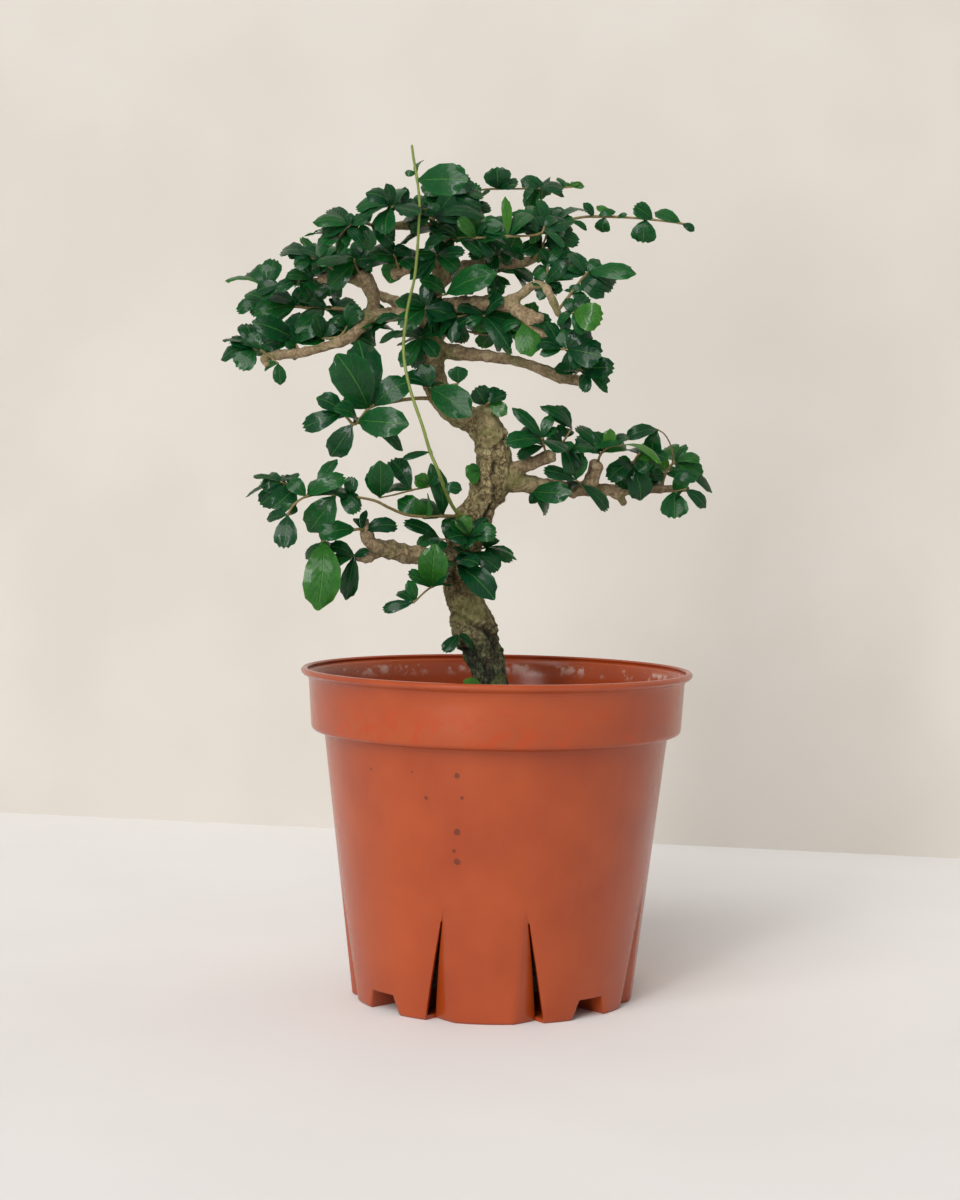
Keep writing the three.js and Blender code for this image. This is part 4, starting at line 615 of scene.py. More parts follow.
# %% Green twigs and their leaves
# [name, twig diameter, [x, y, z] along the twig, leaves, side twig if forked]. A leaf is
# [base x, base z, tip x, tip z, width, y from base to tip, degrees its face is turned to the front].
SPRAYS = [
    ["water_shoot", 1.3,
     [[-12, 0, 194], [-18, -6, 198.5], [-22, -8, 206], [-25, -9, 214], [-28.5, -9, 222], [-32, -10, 233],
      [-36, -11, 244], [-38.5, -12, 253], [-40, -12, 263], [-39.5, -12, 273], [-38, -13, 283],
      [-36, -13, 292], [-35, -12, 302], [-34.5, -11, 313], [-34.3, -10, 323], [-35.5, -9, 333],
      [-37, -8, 341], [-37.7, -8, 346]],
     [[-35.3, 332, -15, 332.5, 13, -2, 78], [-35.6, 333.5, -33.5, 340.5, 3.5, 2, 35],
      [-35.7, 334.8, -40.5, 334.8, 2.8, 0, 80], [-39.5, 275.5, -51.5, 275, 5.5, -2, 32],
      [-39.8, 271, -50, 266, 4.5, -1, 42], [-28.5, 222, -40, 219, 4, 0, 45],
      [-22.5, 208.5, -15.3, 206.8, 5, -1, 85]]],
    ["crown_peak", 1.2,
     [[-24, 0, 323], [-23.5, -3, 327], [-20, -5, 329]],
     [[-23, 327, -33, 328, 6, -1, 50], [-21, 329, -8, 325.5, 6.5, -5, 35],
      [-23.5, 326, -9, 321, 7, -4, 60], [-23.5, 326.5, -33.5, 321.5, 5.5, -2, 60]]],
    ["crown_long_twig", 0.9,
     [[-24, 1, 321], [-16, 4, 326.5], [-8, 5, 328.6], [2, 5, 329], [12, 5, 329.2], [22, 6, 329.6],
      [28, 6, 330.2]],
     [[-2.3, 329, -3, 337.5, 11, 0, 85], [17, 329.3, 6.5, 332.8, 7, -2, 65],
      [25, 330, 21.5, 334, 3.5, 3, 40], [27, 330.2, 32, 330.8, 4, 3, 50],
      [16, 329.3, 24.5, 326.3, 3.8, -2, 45], [14, 329.2, 8, 325.3, 4, -4, 35]]],
    ["crown_green_shoot", 1.2,
     [[-23, -1, 307], [-18, -7, 308.5], [-10, -9, 309.2], [0, -10, 309.8], [10, -10, 310.2],
      [15.5, -10, 311.5], [16.5, -10, 314]],
     [[-11, 309.3, -18, 317, 5.5, -2, 75], [3, 310, -9, 314.5, 7, -2, 62],
      [1.5, 310, 0.5, 326, 4.2, 2, 80], [14, 311, 3, 315, 5, 4, 25], [-11, 309.2, 2, 306.6, 5.5, -4, 15],
      [16, 312.5, 25, 306, 3.5, -2, 50], [16.5, 313.5, 21.5, 318, 5, 2, 60],
      [-18, 308.5, -42, 308.3, 7, -9, 20], [-19, 308.3, -32, 305, 5.5, -8, 40]]],
    ["left_high_tip", 1.2,
     [[-51, -4, 313], [-58, -6, 314.5], [-62.5, -6, 313.8], [-65.5, -6, 310.5], [-68, -5, 307.3]],
     [[-62.5, 313.8, -77.5, 315, 7.5, 5, 42], [-67.5, 308, -80.5, 309.3, 7, 8, 12],
      [-60, 314.4, -64.5, 318, 3.5, 1, 60], [-54, 313.5, -44, 310.5, 5.5, -5, 30],
      [-58, 314.3, -68, 302, 7, -5, 55], [-66.5, 309, -72.5, 305.3, 5.5, -3, 50],
      [-64, 312, -57.5, 306.5, 5, -5, 60]]],
    ["left_mid_tip", 1,
     [[-65, -5, 292], [-70, -6, 296], [-74, -7, 299], [-79, -7, 300.2]],
     [[-73, 298.5, -81, 304, 6, 2, 45], [-79, 300.2, -90.5, 300.8, 6, 5, 12],
      [-77.5, 299.8, -85, 296.3, 5.5, -3, 80], [-71, 297, -76.5, 301.5, 5, -3, 50]]],
    ["left_riser_tip", 1.1,
     [[-58, -2, 293.5], [-60, -5, 297.5], [-60.5, -7, 300]],
     [[-60.5, 299.5, -76, 297.8, 6.5, -1, 38], [-60.2, 298.5, -71, 288.3, 8.5, -4, 72],
      [-60.3, 299, -51.5, 300.3, 8, -5, 75], [-60.5, 300, -58, 305.5, 4.5, 0, 60]]],
    ["left_inner", 1.1,
     [[-42, -5, 294.5], [-43, -8, 298.5], [-44.5, -9, 302]],
     [[-43.5, 299.5, -54, 302.5, 6.5, -1, 50], [-43, 298.3, -57, 295.5, 6, -3, 22],
      [-44.5, 302, -37.5, 303.5, 5, -2, 50], [-44.3, 301.5, -49, 308, 6, 1, 45]]],
    ["left_far_top", 1.1,
     [[-74.5, -6, 291.5], [-82, -2, 290.8], [-90, 3, 289.3], [-96, 6, 287.7]],
     [[-96, 287.7, -113, 291.5, 5.5, 10, 20], [-91, 289, -100.5, 286.3, 6.5, -2, 60],
      [-83, 290.7, -92, 287, 6, -5, 50], [-77, 291.2, -88, 293.5, 6, 2, 50],
      [-86, 290.2, -82, 295.8, 5, 2, 60]]],
    ["left_low_back", 1.5,
     [[-53.5, -4, 278], [-66, -2, 279.6], [-78, 0, 279.8], [-90, 1, 281], [-96, 1, 282.5]],
     [[-96, 282.5, -108.3, 278.3, 6, 2, 60], [-91, 281.2, -96.5, 286.8, 4.5, 1, 60],
      [-80, 280, -72, 287.3, 6, -3, 60], [-85, 280.5, -80.5, 287.8, 6, -4, 60],
      [-68, 279.6, -71, 286.5, 4.5, 2, 25], [-72, 279.7, -84, 270, 7.5, -5, 62],
      [-84, 280.3, -101.5, 276.8, 10, -5, 65]]],
    ["left_low_front", 1,
     [[-82, -7, 261.5], [-84, -9, 265], [-85.5, -10, 268]],
     [[-85, 267, -101, 274.3, 10, -3, 60], [-85.5, 268, -103, 267.3, 8, -3, 45],
      [-84, 265.5, -75, 273, 7, -4, 65], [-83.5, 264.5, -88.5, 264.6, 3.5, -3, 70]]],
    ["mid_left", 1.6,
     [[-24, 3, 243], [-31, -2, 243.8], [-38, -5, 243.3], [-46, -8, 241.8], [-53, -10, 240],
      [-57, -11, 235.5], [-60, -11, 232.8], [-64.5, -11, 237.8]],
     [[-54, 239, -67, 261, 16, -2, 85], [-52.5, 240, -58.5, 267.5, 14, 5, 85],
      [-64.3, 237.5, -80.8, 231.5, 8, -2, 75], [-63, 236, -70.5, 241, 4.5, 3, 60],
      [-60.5, 233, -69.5, 219.5, 10, -2, 82], [-58, 234, -38.3, 233.5, 12.5, -7, 75],
      [-57.5, 234.5, -39, 223.3, 6.5, -3, 55], [-52, 240.3, -37.5, 251, 11, -5, 70]]],
    ["stub_tuft", 0.9,
     [[-6, -2, 239], [-6, -4, 241.5], [-4.5, -5, 242.5]],
     [[-6, 241.5, -10.5, 248.5, 8.5, -1, 80], [-5, 242.3, 0.5, 247.8, 7.5, 1, 80],
      [-4.7, 242.2, 2.6, 237.8, 6, -3, 85]]],
    ["centre_left", 0.9,
     [[-30, 3, 267], [-32.5, -4, 268.3], [-33, -7, 268.5]],
     [[-33, 268.5, -41, 256.5, 7, -1, 75], [-33, 268.4, -35.5, 255, 6, 1, 80]]],
    ["pale_tuft", 0.9,
     [[-28.5, -4, 300], [-27.5, -9, 301.5], [-27, -10, 302]],
     [[-27, 302, -15.5, 303, 6, -5, 55], [-27.2, 301.7, -38, 292, 6, -6, 60]]],
    ["inner_tuft", 1,
     [[-5, 16, 299], [-3, 9, 302], [-1, 5, 304]],
     [[-1.5, 303.5, -14, 302, 7, -1, 45], [-1, 304, 9, 301.5, 6, -2, 50],
      [-2.5, 302.5, -6, 294.5, 6, -3, 70]]],
    ["right_crown", 1.1,
     [[12, 17, 300.5], [15, 8, 305], [17, 3, 309], [18, 1, 312.5]],
     [[16, 306.5, 7.5, 303.8, 7, -3, 60], [18, 312, 28.5, 311.5, 8, -3, 70],
      [17.5, 310.5, 31, 307.8, 6.5, 0, 80], [17.7, 311.5, 3, 320, 6.5, 2, 50],
      [18, 312.5, 9.5, 323, 6, 4, 55], [18, 312.5, 14, 325.5, 5, 7, 60],
      [18, 312.5, 33.5, 322.3, 5, 9, 35]]],
    ["long_right_twig", 1.2,
     [[13, 16, 301], [19, 12, 309], [24, 8, 315.5], [32, 5, 318], [42, 3, 318.3], [52, 2, 318],
      [62, 1, 317.2], [70, 0, 316.3], [73.5, 0, 315.7]],
     [[60.5, 317.4, 52.8, 323, 6.8, 1, 80], [72, 316, 61, 320.8, 5.5, 0, 60],
      [57.5, 317.5, 56.5, 308, 10.3, -1, 86], [72.5, 316, 77.3, 313.3, 3.6, -1, 60],
      [41, 318.2, 39.8, 311.8, 6.3, -1, 82], [36.5, 318.2, 32.3, 323.8, 4, 1, 60],
      [38, 318.2, 45.2, 320.8, 3.4, -1, 60], [44, 318.2, 37.5, 322.9, 3.6, 2, 60],
      [46, 318.2, 50, 319.5, 2.2, 0, 60], [27, 316.5, 34, 312.8, 3.2, -2, 50],
      [25, 316, 21, 322, 5, 2, 60]]],
    ["right_green_stem", 1,
     [[17.5, -5, 289], [18, -8, 296], [18.5, -8, 303], [19, -8, 308]],
     [[18, 292, 25, 299.5, 6.5, -2, 70], [18.3, 298, 25.5, 305.5, 6, -2, 70],
      [18, 297, 13.3, 291, 4.5, -1, 80], [18.6, 305, 35, 298.5, 6.5, 1, 60],
      [18, 290.5, 24.5, 288.3, 4.5, -3, 75], [16.5, 290, 15, 284.5, 4.5, -2, 75]]],
    ["right_spur", 1.3,
     [[22.5, -6, 280], [27, -6, 286], [31, -5, 291.5], [34.5, -4, 295.8]],
     [[34.5, 295.8, 54, 295.7, 7.5, 1, 60], [34.3, 295.5, 38.5, 301.3, 3.8, 0, 70],
      [33.5, 294.5, 27, 304, 6, 3, 55], [32, 292.5, 41, 286, 7, -1, 82],
      [28, 287.3, 34, 284.5, 5, -3, 70]]],
    ["right_round", 0.9,
     [[22.5, -6, 278], [26, -8, 279], [29, -9, 279.5]],
     [[29, 279.5, 40.5, 277, 11.5, -1, 86], [27, 279.2, 24, 272.5, 6, -2, 80],
      [28.5, 279.4, 34, 271, 7, -3, 80], [29, 279.5, 35, 286, 6, 2, 80]]],
    ["right_drop_tip", 0.9,
     [[22, -6, 266], [24.5, -8, 264.5], [27, -9, 264.5]],
     [[27, 264.5, 40.5, 262, 12, -2, 72], [24, 264.8, 18, 275.5, 6.5, -3, 65],
      [24.5, 264.5, 15.5, 262.3, 4.5, -2, 60], [26.5, 264.5, 34, 272.5, 7, 1, 75]]],
    ["under_limb_mid", 0.8,
     [[9, -5.5, 277.5], [8.5, -8, 275.5], [8.4, -8.5, 275]],
     [[8.4, 275, 12, 261.5, 10.5, -1, 86]]],
    ["mid_right_tip", 1,
     [[29, 8, 252.5], [30.5, 4, 255], [32, 1, 256.5], [36, -2, 254]],
     [[31.5, 256, 45.5, 257.5, 9, -3, 70], [34.5, 255, 44.5, 252, 5.5, -1, 60],
      [36, 254, 43.5, 247.3, 3.8, -2, 60], [35.5, 254.3, 34, 247.3, 5, -2, 80],
      [30.5, 255, 21.5, 257, 6, -4, 60], [31.5, 256.2, 36.5, 266, 9, 2, 75]]],
    ["right_inner", 1,
     [[19, -7, 220.5], [18, -9, 224.5], [17, -10, 228.5]],
     [[17.3, 227.5, 2, 226.5, 8, -2, 60], [17.8, 225, 6.5, 220.8, 5.5, -3, 62],
      [17, 228.5, 5, 240.8, 5.5, -1, 62], [17, 228.5, 20.5, 237.5, 5, 2, 75]]],
    ["right_middle", 1,
     [[21, -7, 221.5], [25, -9, 226], [29, -9, 232.5]],
     [[29, 232.5, 17, 241.8, 5, 0, 52], [24.5, 226, 21, 232, 4.5, -2, 70],
      [26.5, 228.7, 23.5, 234, 4.5, 1, 70], [25.5, 227, 28.5, 224, 5, -5, 60],
      [25, 226.3, 31, 213, 8, -4, 80]]],
    ["right_low_leaf", 0.9,
     [[14, -3, 209.5], [13, -7, 207.3], [12.7, -8, 206.5]],
     [[12.7, 206.5, 29.3, 206.3, 9, -2, 75], [12.7, 206.5, 15, 201.5, 5, 0, 80]]],
    ["right_hook_low", 0.9,
     [[33, -4, 208], [33, -9, 210], [31, -10, 211.5]],
     [[31, 211.5, 17.8, 215.5, 6.5, -1, 58], [33, 210, 44.7, 199, 5.5, -1, 75]]],
    ["right_hook_top", 1,
     [[39.5, -6, 217.5], [41, -8, 222], [44, -9, 225], [49.5, -9, 226]],
     [[44.5, 225.2, 44.8, 232.5, 5, 0, 85], [41.5, 223, 31, 234.3, 5.5, 3, 60],
      [41, 222, 28.5, 225.3, 6.5, -3, 38], [43, 224.3, 38, 231.3, 5, 0, 62],
      [47, 225.6, 51.5, 230.8, 5.5, 1, 60], [49.5, 226, 65.8, 219.8, 4.8, -3, 28]]],
    ["right_pad", 1.1,
     [[54, -0.5, 208], [54, -4, 214], [55, -6, 220], [57, -6, 223]],
     [[57, 223, 68.3, 221, 5.5, 3, 60], [54.5, 216.5, 58, 203.5, 10, -4, 76],
      [54.8, 218.5, 44, 212.5, 9, -5, 60], [55, 219.5, 60.5, 215.5, 5, -4, 75],
      [56.5, 222.5, 61.5, 226.5, 5, 4, 60], [54.3, 216, 48, 220.5, 6, 1, 50]]],
    ["right_pad_end", 1.2,
     [[66, 0.5, 208.3], [67, -2, 213], [68.5, -3, 217], [71.5, -4, 219.3]],
     [[71.5, 219.3, 81.5, 221.3, 5.5, 3, 50], [71, 219, 83, 214.3, 7.5, -3, 70],
      [71.3, 219.2, 75.5, 227, 5, 4, 50], [67.5, 214.5, 80, 213, 5.5, -6, 60],
      [71.5, 219.2, 87.3, 207.3, 4.5, 1, 52], [68.3, 216.5, 66.3, 221.5, 3.5, -3, 80],
      [67.3, 214, 61, 213.5, 6, -3, 60]]],
    ["arching_stalk", 0.7,
     [[67.8, -2, 214.5], [70.5, 1, 220], [69.5, 2, 226], [67, 2, 230.5], [64, 1, 232.5]],
     [[64, 232.5, 50.8, 229.3, 6.5, 0, 58]]],
    ["right_limb_end", 0.9,
     [[69, 1, 208.4], [71, -4, 207.5], [76, -5, 208.5]],
     [[71, 207.5, 71.5, 196.3, 11.3, -2, 88], [75.5, 208.5, 84.7, 201, 5.5, -1, 72]]],
    ["lower_left_low", 1.1,
     [[-54, -7, 189.5], [-58, -9, 190], [-64, -10, 188], [-70, -10, 185.8], [-72.5, -10, 184.5]],
     [[-58.5, 190, -73.5, 187.5, 9, 1, 60], [-55, 190, -41.3, 192.3, 7.5, -3, 55],
      [-56, 190, -54.5, 198, 3.5, 1, 60], [-71.5, 185, -73.8, 157.3, 15, -2, 88],
      [-72.5, 184.5, -79, 177.5, 4.5, 3, 60]]],
    ["lower_left_snag_tuft", 0.9,
     [[-57, -7, 178.5], [-58.5, -9, 179.3], [-59.5, -10, 179]],
     [[-59.5, 179, -69.5, 175.3, 6.5, 1, 50], [-58.8, 179.2, -62.3, 160.8, 7.5, -2, 80],
      [-59.3, 179.2, -69, 183.5, 6.5, -3, 55]]],
    ["lower_left_high", 1.3,
     [[-12, 1, 195], [-20, -2, 196], [-30, -3, 195.6], [-38, -5, 196.3], [-45, -7, 199], [-51, -8, 201.8],
      [-60, -8, 203.3], [-70, -8, 204.2], [-79, -8, 203], [-84, -8, 199.5], [-86.5, -8, 195.5]],
     [[-86.5, 195.3, -88, 181.8, 9.5, 0, 85], [-74, 204, -66.8, 219, 6, 2, 60],
      [-78, 203.3, -63, 211.5, 7.5, -2, 68], [-61, 203.4, -60.5, 211.3, 5.8, -1, 85],
      [-67, 204, -78, 188.5, 12.5, -4, 85], [-65, 203.8, -58.3, 196.8, 6.5, -3, 75],
      [-83.5, 200, -92, 194.5, 5.5, 3, 60], [-30, 195.6, -41.5, 202.5, 8.5, -3, 80],
      [-23, 196, -27.5, 217, 7.5, 2, 72], [-79, 203, -86, 210, 7, -3, 75]]],
    ["lower_left_tip", 0.9,
     [[-79, -8, 203.3], [-84, -5, 206.3], [-89.5, -4, 209]],
     [[-89.5, 209, -101, 211, 4.8, 3, 25], [-86, 207.3, -82.5, 213, 4, 2, 50],
      [-88.5, 208.5, -97.5, 207, 6.5, -1, 80], [-89.3, 209, -104, 202.5, 3.5, 6, 22],
      [-88, 208.3, -98, 199.3, 8.5, -3, 80], [-84, 206.3, -92.5, 198.5, 10, -4, 85]]],
    ["lower_left_fork", 0.9,
     [[-24, -8, 211], [-29, -13, 208], [-36, -13, 206.3], [-43, -13, 204.3], [-49, -13, 203]],
     [[-49, 203, -49, 218, 10.5, -1, 85], [-36, 206.3, -44.5, 219.3, 8.5, -2, 80],
      [-29, 208, -34.5, 212, 6.5, -3, 85]]],
    ["trunk_right_tuft", 0.9,
     [[-14, 0, 180], [-10, -9, 181.8], [-5, -10, 183.5]],
     [[-5, 183.5, 7.7, 178.8, 3.2, -1, 22], [-6, 183.2, 0, 187, 3, 2, 40],
      [-10.5, 181.6, 0.3, 174.5, 8.5, -3, 66]]],
    ["trunk_dark_leaf", 0.9,
     [[-15, 0, 175], [-17, -9, 176], [-17, -11, 176]],
     [[-17, 176, -1.3, 162.5, 11.5, -1, 62]]],
    ["trunk_low_twig", 1,
     [[-15.5, 0, 168], [-22, -8, 168.3], [-28, -10, 166.3], [-34.5, -11, 160.3]],
     [[-27, 166.8, -26, 184, 12, -2, 82], [-24, 168, -35.3, 171.5, 5.5, -3, 50],
      [-34.5, 160.3, -47.3, 157.3, 5.5, -1, 62], [-33.5, 161.5, -36.8, 169.5, 5, 1, 75]]],
    ["trunk_bud", 0.8,
     [[-10, 0, 147], [-15, -8, 147.3], [-16, -9, 147.5]],
     [[-16, 147.5, -22, 140.3, 5.5, -1, 80]]],
    ["trunk_side_leaf", 0.8,
     [[-3, 0, 214], [-7, -8, 214.5], [-8, -9, 214.5]],
     [[-8, 214.5, -13.8, 212.5, 8, 0, 86]]],
    ["base_sprout", 0.8,
     [[-1, 0, 119], [-3, -13, 121.5], [-5.5, -20, 126]],
     [[-5.5, 126, -13.5, 128.3, 4.5, -3, 60]]],
    ["crown_left_high", 1.3,
     [[-24.5, 0, 317.5], [-33, -3, 320.5], [-41, -5, 321.5], [-46, -6, 321]],
     [[-46, 321, -60, 321, 6.5, 2, 40], [-44, 321.2, -52.5, 325.8, 5, 2, 50],
      [-40, 321.5, -40.3, 329.3, 3.8, 1, 80], [-45, 321, -58.5, 317.3, 6.5, -4, 35],
      [-42, 321.3, -36, 319, 5.5, -4, 60], [-37, 321, -32.5, 325.5, 5, 1, 60],
      [-28.5, 316.5, -15, 316.8, 6.5, -3, 50], [-29.5, 317, -42, 315.3, 5, 4, 40],
      [-28, 317, -8, 318.5, 6.5, 6, 45], [-30, 317, -27, 323, 5, -2, 60]],
     [[-28, -1.3, 318.7], [-28.5, -6, 316.5], [-30, -8, 317]]],
    ["left_tip", 1,
     [[-95, -7, 259.5], [-98, -8, 262.3], [-102, -8, 263]],
     [[-101, 263, -114, 266.8, 5, 6, 15], [-98, 262.3, -107, 267, 6, -1, 40],
      [-102, 263, -114.8, 258.8, 6.5, 2, 50], [-101, 262.8, -107, 254.5, 8.5, -2, 75],
      [-97, 261.8, -92.5, 267.5, 6, -3, 50], [-91.3, 257, -90, 248.5, 5.5, 0, 80]],
     [[-97, -7.7, 261.6], [-94, -10.3, 259.5], [-91, -9.5, 257]]],
    ["left_forks", 0.9,
     [[-67, -6, 266], [-67, -9.3, 268], [-70, -10, 267.7], [-73.2, -10, 267.5]],
     [[-73.2, 267.5, -76, 277, 6.5, -2, 70], [-72, 267.5, -65.5, 276, 6.5, -3, 70],
      [-63, 273, -66, 277, 3, 0, 70], [-63, 273, -61, 277, 3, 1, 70], [-64.5, 270, -51, 265, 7.5, -2, 60],
      [-63, 272.5, -57.5, 279, 6, -4, 60]],
     [[-67, -9.3, 268], [-64.5, -10, 270], [-63, -10, 273]]],
    ["centre_fan", 1,
     [[-26, 4, 246], [-27, -3, 247.5], [-29, -7, 248]],
     [[-29, 248, -12, 237, 13, -3, 75], [-29, 248, -33, 257.5, 9, -2, 85],
      [-17.5, 250, -18, 257, 8, 0, 85]],
     [[-27, -3, 247.5], [-22, -3.5, 249], [-17.5, -2, 250]]],
    ["front_gloss", 1,
     [[-27.5, 0, 284], [-27, -6, 284.5], [-25, -7, 285.5], [-23, -8, 286]],
     [[-31.5, 280, -41.5, 272.5, 9.5, -1, 60], [-31.5, 280, -19, 277, 9.5, -4, 65],
      [-31, 280.5, -30.5, 291.5, 6, 0, 80], [-23, 286, -3, 295.5, 12, -3, 58]],
     [[-27, -6, 284.5], [-29.5, -7, 282], [-31.5, -8, 280]]],
    ["under_limb", 0.8,
     [[-12.5, -2.5, 281], [-12.5, -5.7, 278.7], [-10, -6.5, 278], [-7, -7, 277.5]],
     [[-7, 277.5, 3.5, 264.5, 8.5, 0, 62], [-7.5, 277.6, 7, 273.5, 7, -5, 58],
      [-8, 277.7, -14.5, 274, 5, -3, 60], [-18.3, 277, -20.5, 266.3, 5, 0, 80],
      [-18, 277.1, -14.8, 265.5, 5.5, 2, 80]],
     [[-12.5, -5.7, 278.7], [-15, -6.3, 277.8], [-18.3, -6.5, 277]]],
    ["trunk_tuft", 0.9,
     [[-15, 0, 185], [-15, -8.5, 186], [-14, -10.5, 187], [-12, -11, 187.5]],
     [[-12, 187.5, -1.5, 190.2, 8, -2, 70], [-12.3, 187.4, -5, 195.5, 7, 1, 70],
      [-12.8, 187.3, -15.5, 196.5, 7, -1, 85], [-24, 186.5, -38.8, 193.5, 6.5, -3, 52],
      [-21.5, 186.4, -19, 196, 7, -3, 85]],
     [[-15, -8.5, 186], [-19, -9.5, 186.3], [-24, -9, 186.5]]],
]

# %% Far twigs
# Leafed all round: [name, twig diameter, [x, y, z] along the twig, leaf count, leaf length].
BACK_SPRAYS = [
    ["back_right_pad", 1.1, [[-17, 27, 281], [-13, 33, 289], [-6, 36, 294], [3, 37, 297]], 8, 15],
    ["back_right_low", 1, [[-22, 17, 275], [-13, 24, 271], [-2, 28, 270], [8, 30, 271]], 7, 14],
    ["back_left_pad", 1.1, [[-52, 26.5, 286.3], [-60, 31, 291], [-69, 32, 294], [-78, 30, 295]], 8, 15],
    ["back_left_low", 1, [[-40, 16, 281], [-46, 25, 275], [-55, 29, 271], [-64, 29, 269]], 7, 14],
    ["back_crown", 1, [[-24, 0, 318], [-23, 10, 321], [-19, 18, 321], [-13, 24, 319]], 7, 13],
    ["back_right_limb", 1, [[50, -1, 207.5], [53, 8, 211], [59, 16, 214], [66, 22, 215]], 7, 13],
]

# %% Depth
GOLDEN_ANGLE = math.radians(137.508)
VIEW_DISTANCE, VIEW_X, VIEW_Z = 900, 2, 205
TWIST_AXIS_X = -18
TIER_TWIST = np.array([(110, 0), (165, 0.3), (190, 0.5), (208, 0.35), (235, 0.15), (262, -0.35),
                       (285, -0.45), (300, -0.1), (318, 0.35), (346, 0.35)])
SPRAY_SWING = (-0.7, 0.15, 0.8, -0.3)
SWING_REACH = 22
LEAF_SWING = 0.45
CROWN_BASE = 262
TUFT_X, TUFT_Z, TUFT_REACH = -22, 186, 24
LONE_TWIGS = ("water_shoot", "base_sprout", "long_right_twig")     # these get no companion leaves
COMPANION_LENGTHS = (5.5, 12.5)
ARCH_ROOM = 3.5             # room for a blade's arch between a companion's tip and the tree's top


def in_view(points):
    """Keeps the outline: what stands farther off than the pot's middle is built larger by its share of the
    viewing distance, and what stands nearer is built smaller."""
    scale = (1 + points[..., 1:2] / VIEW_DISTANCE)
    return np.concatenate([VIEW_X + (points[..., :1] - VIEW_X) * scale, points[..., 1:2],
                           VIEW_Z + (points[..., 2:] - VIEW_Z) * scale], axis=-1)


def with_depth(stations):
    """Wood comes forward on one side of the axis and goes back on the other, by a share set by height."""
    stations = np.array(stations, float)
    twist = np.interp(stations[:, 2], *TIER_TWIST.T)
    stations[:, 1] += twist * (stations[:, 0] - TWIST_AXIS_X)
    return stations


def swung(path, root, swing):
    """A twig also swings forward or back by a share of how far it has reached from its root."""
    path = np.array(path, float)
    reach = np.minimum(np.hypot(path[:, 0] - root[0], path[:, 2] - root[2]), SWING_REACH)
    path[:, 1] += swing * reach
    return with_depth(path)


# %% Smooth paths and tubes
def smooth_path(stations, spacing):
    """A Catmull-Rom curve through stations of any number of columns, with points about spacing mm apart."""
    padded = np.vstack([2 * stations[0] - stations[1], stations, 2 * stations[-1] - stations[-2]])
    pieces = []
    for k in range(len(stations) - 1):
        a, b, c, d = padded[k:k + 4]
        steps = max(1, int(np.ceil(np.linalg.norm((c - b)[:3]) / spacing)))
        t = (np.arange(steps) / steps)[:, None]
        pieces.append(0.5 * (2 * b + (c - a) * t + (2 * a - 5 * b + 4 * c - d) * t ** 2
                             + (3 * b - a - 3 * c + d) * t ** 3))
    return np.vstack([*pieces, stations[-1:]])


def carried_frames(points):
    """Unit directions along and across a path. Each across is the last one, made square to it again."""
    along = unit(np.gradient(points, axis=0))
    across = np.empty_like(along)
    step = np.array([1.0, 0, 0]) if abs(along[0, 1]) > 0.8 else np.array([0, 1.0, 0])
    for k, direction in enumerate(along):
        step = step - direction * (step @ direction)
        step = step / np.linalg.norm(step)
        across[k] = step
    return along, across, np.cross(along, across)


def tube(points, radii, sides, first_point=0):
    """A closed round tube: a ring at each path point, and a pole pushed out by half a radius at each end."""
    along, across, other = carried_frames(points)
    turn = 2 * math.pi * np.arange(sides) / sides
    ring = across[:, None] * np.cos(turn)[:, None] + other[:, None] * np.sin(turn)[:, None]
    rings = points[:, None] + ring * radii[:, None, None]
    count = len(points)
    poles = [points[0] - along[0] * radii[0] * 0.5, points[-1] + along[-1] * radii[-1] * 0.5]
    first, last = np.arange(sides), (count - 1) * sides + np.arange(sides)
    start = np.stack([first, np.full(sides, count * sides), np.roll(first, -1)], axis=-1)
    end = np.stack([last, np.roll(last, -1), np.full(sides, count * sides + 1)], axis=-1)
    faces = [face + first_point for face in (*grid_faces(count, sides, wrap=True), *start, *end)]
    return np.vstack([rings.reshape(-1, 3), poles]), faces


# %% [markdown]
# ## The old wood
#
# Trunk and branches grew as one piece, so they are one piece here. Round tubes along the limbs are fused
# by a voxel remesh, which also fills the forks as growth does. Bark is then raised on that skin: plates
# that wind round the limb, fine furrows, scales, knuckles, knots where twigs were cut, and a few deep
# grooves in the trunk. The relief is measured in shares of the limb's own radius, so that thin branches
# get fine bark.

# %% Fused limbs
KNUCKLE_STEP = 6.5
KNUCKLE_HALF = 1.1          # how far along the limb a knuckle's swelling reaches each way
SLIM_RADIUS = 5.5           # limbs thinner than this have knuckles
RING_SIDES = 18
VOXEL = 0.59
POINT_BLOCK = 4000          # points compared at once, which bounds the memory used


def limb_tube(stations):
    """A limb whose radius wanders by a tenth or so, as pruned wood does. Thin limbs also swell at each old
    leaf joint, about every KNUCKLE_STEP mm."""
    path = smooth_path(with_depth(stations), 0.9)
    wander = 1 + 0.11 * rough(path[:, :3] + 50, 9.0, 3, seed=11)
    way = np.cumsum(np.linalg.norm(np.diff(path[:, :3], axis=0, prepend=path[:1, :3]), axis=1))
    way = way + 1.5 * noise(path[:, :3], 8.0, seed=12)
    swelling = np.exp(-((way % KNUCKLE_STEP - KNUCKLE_STEP / 2) / KNUCKLE_HALF) ** 2)
    slim = np.clip((SLIM_RADIUS - path[:, 3]) / 2, 0, 1)
    return path[:, :3], path[:, 3] * (wander - 0.04 * slim + 0.15 * slim * swelling)


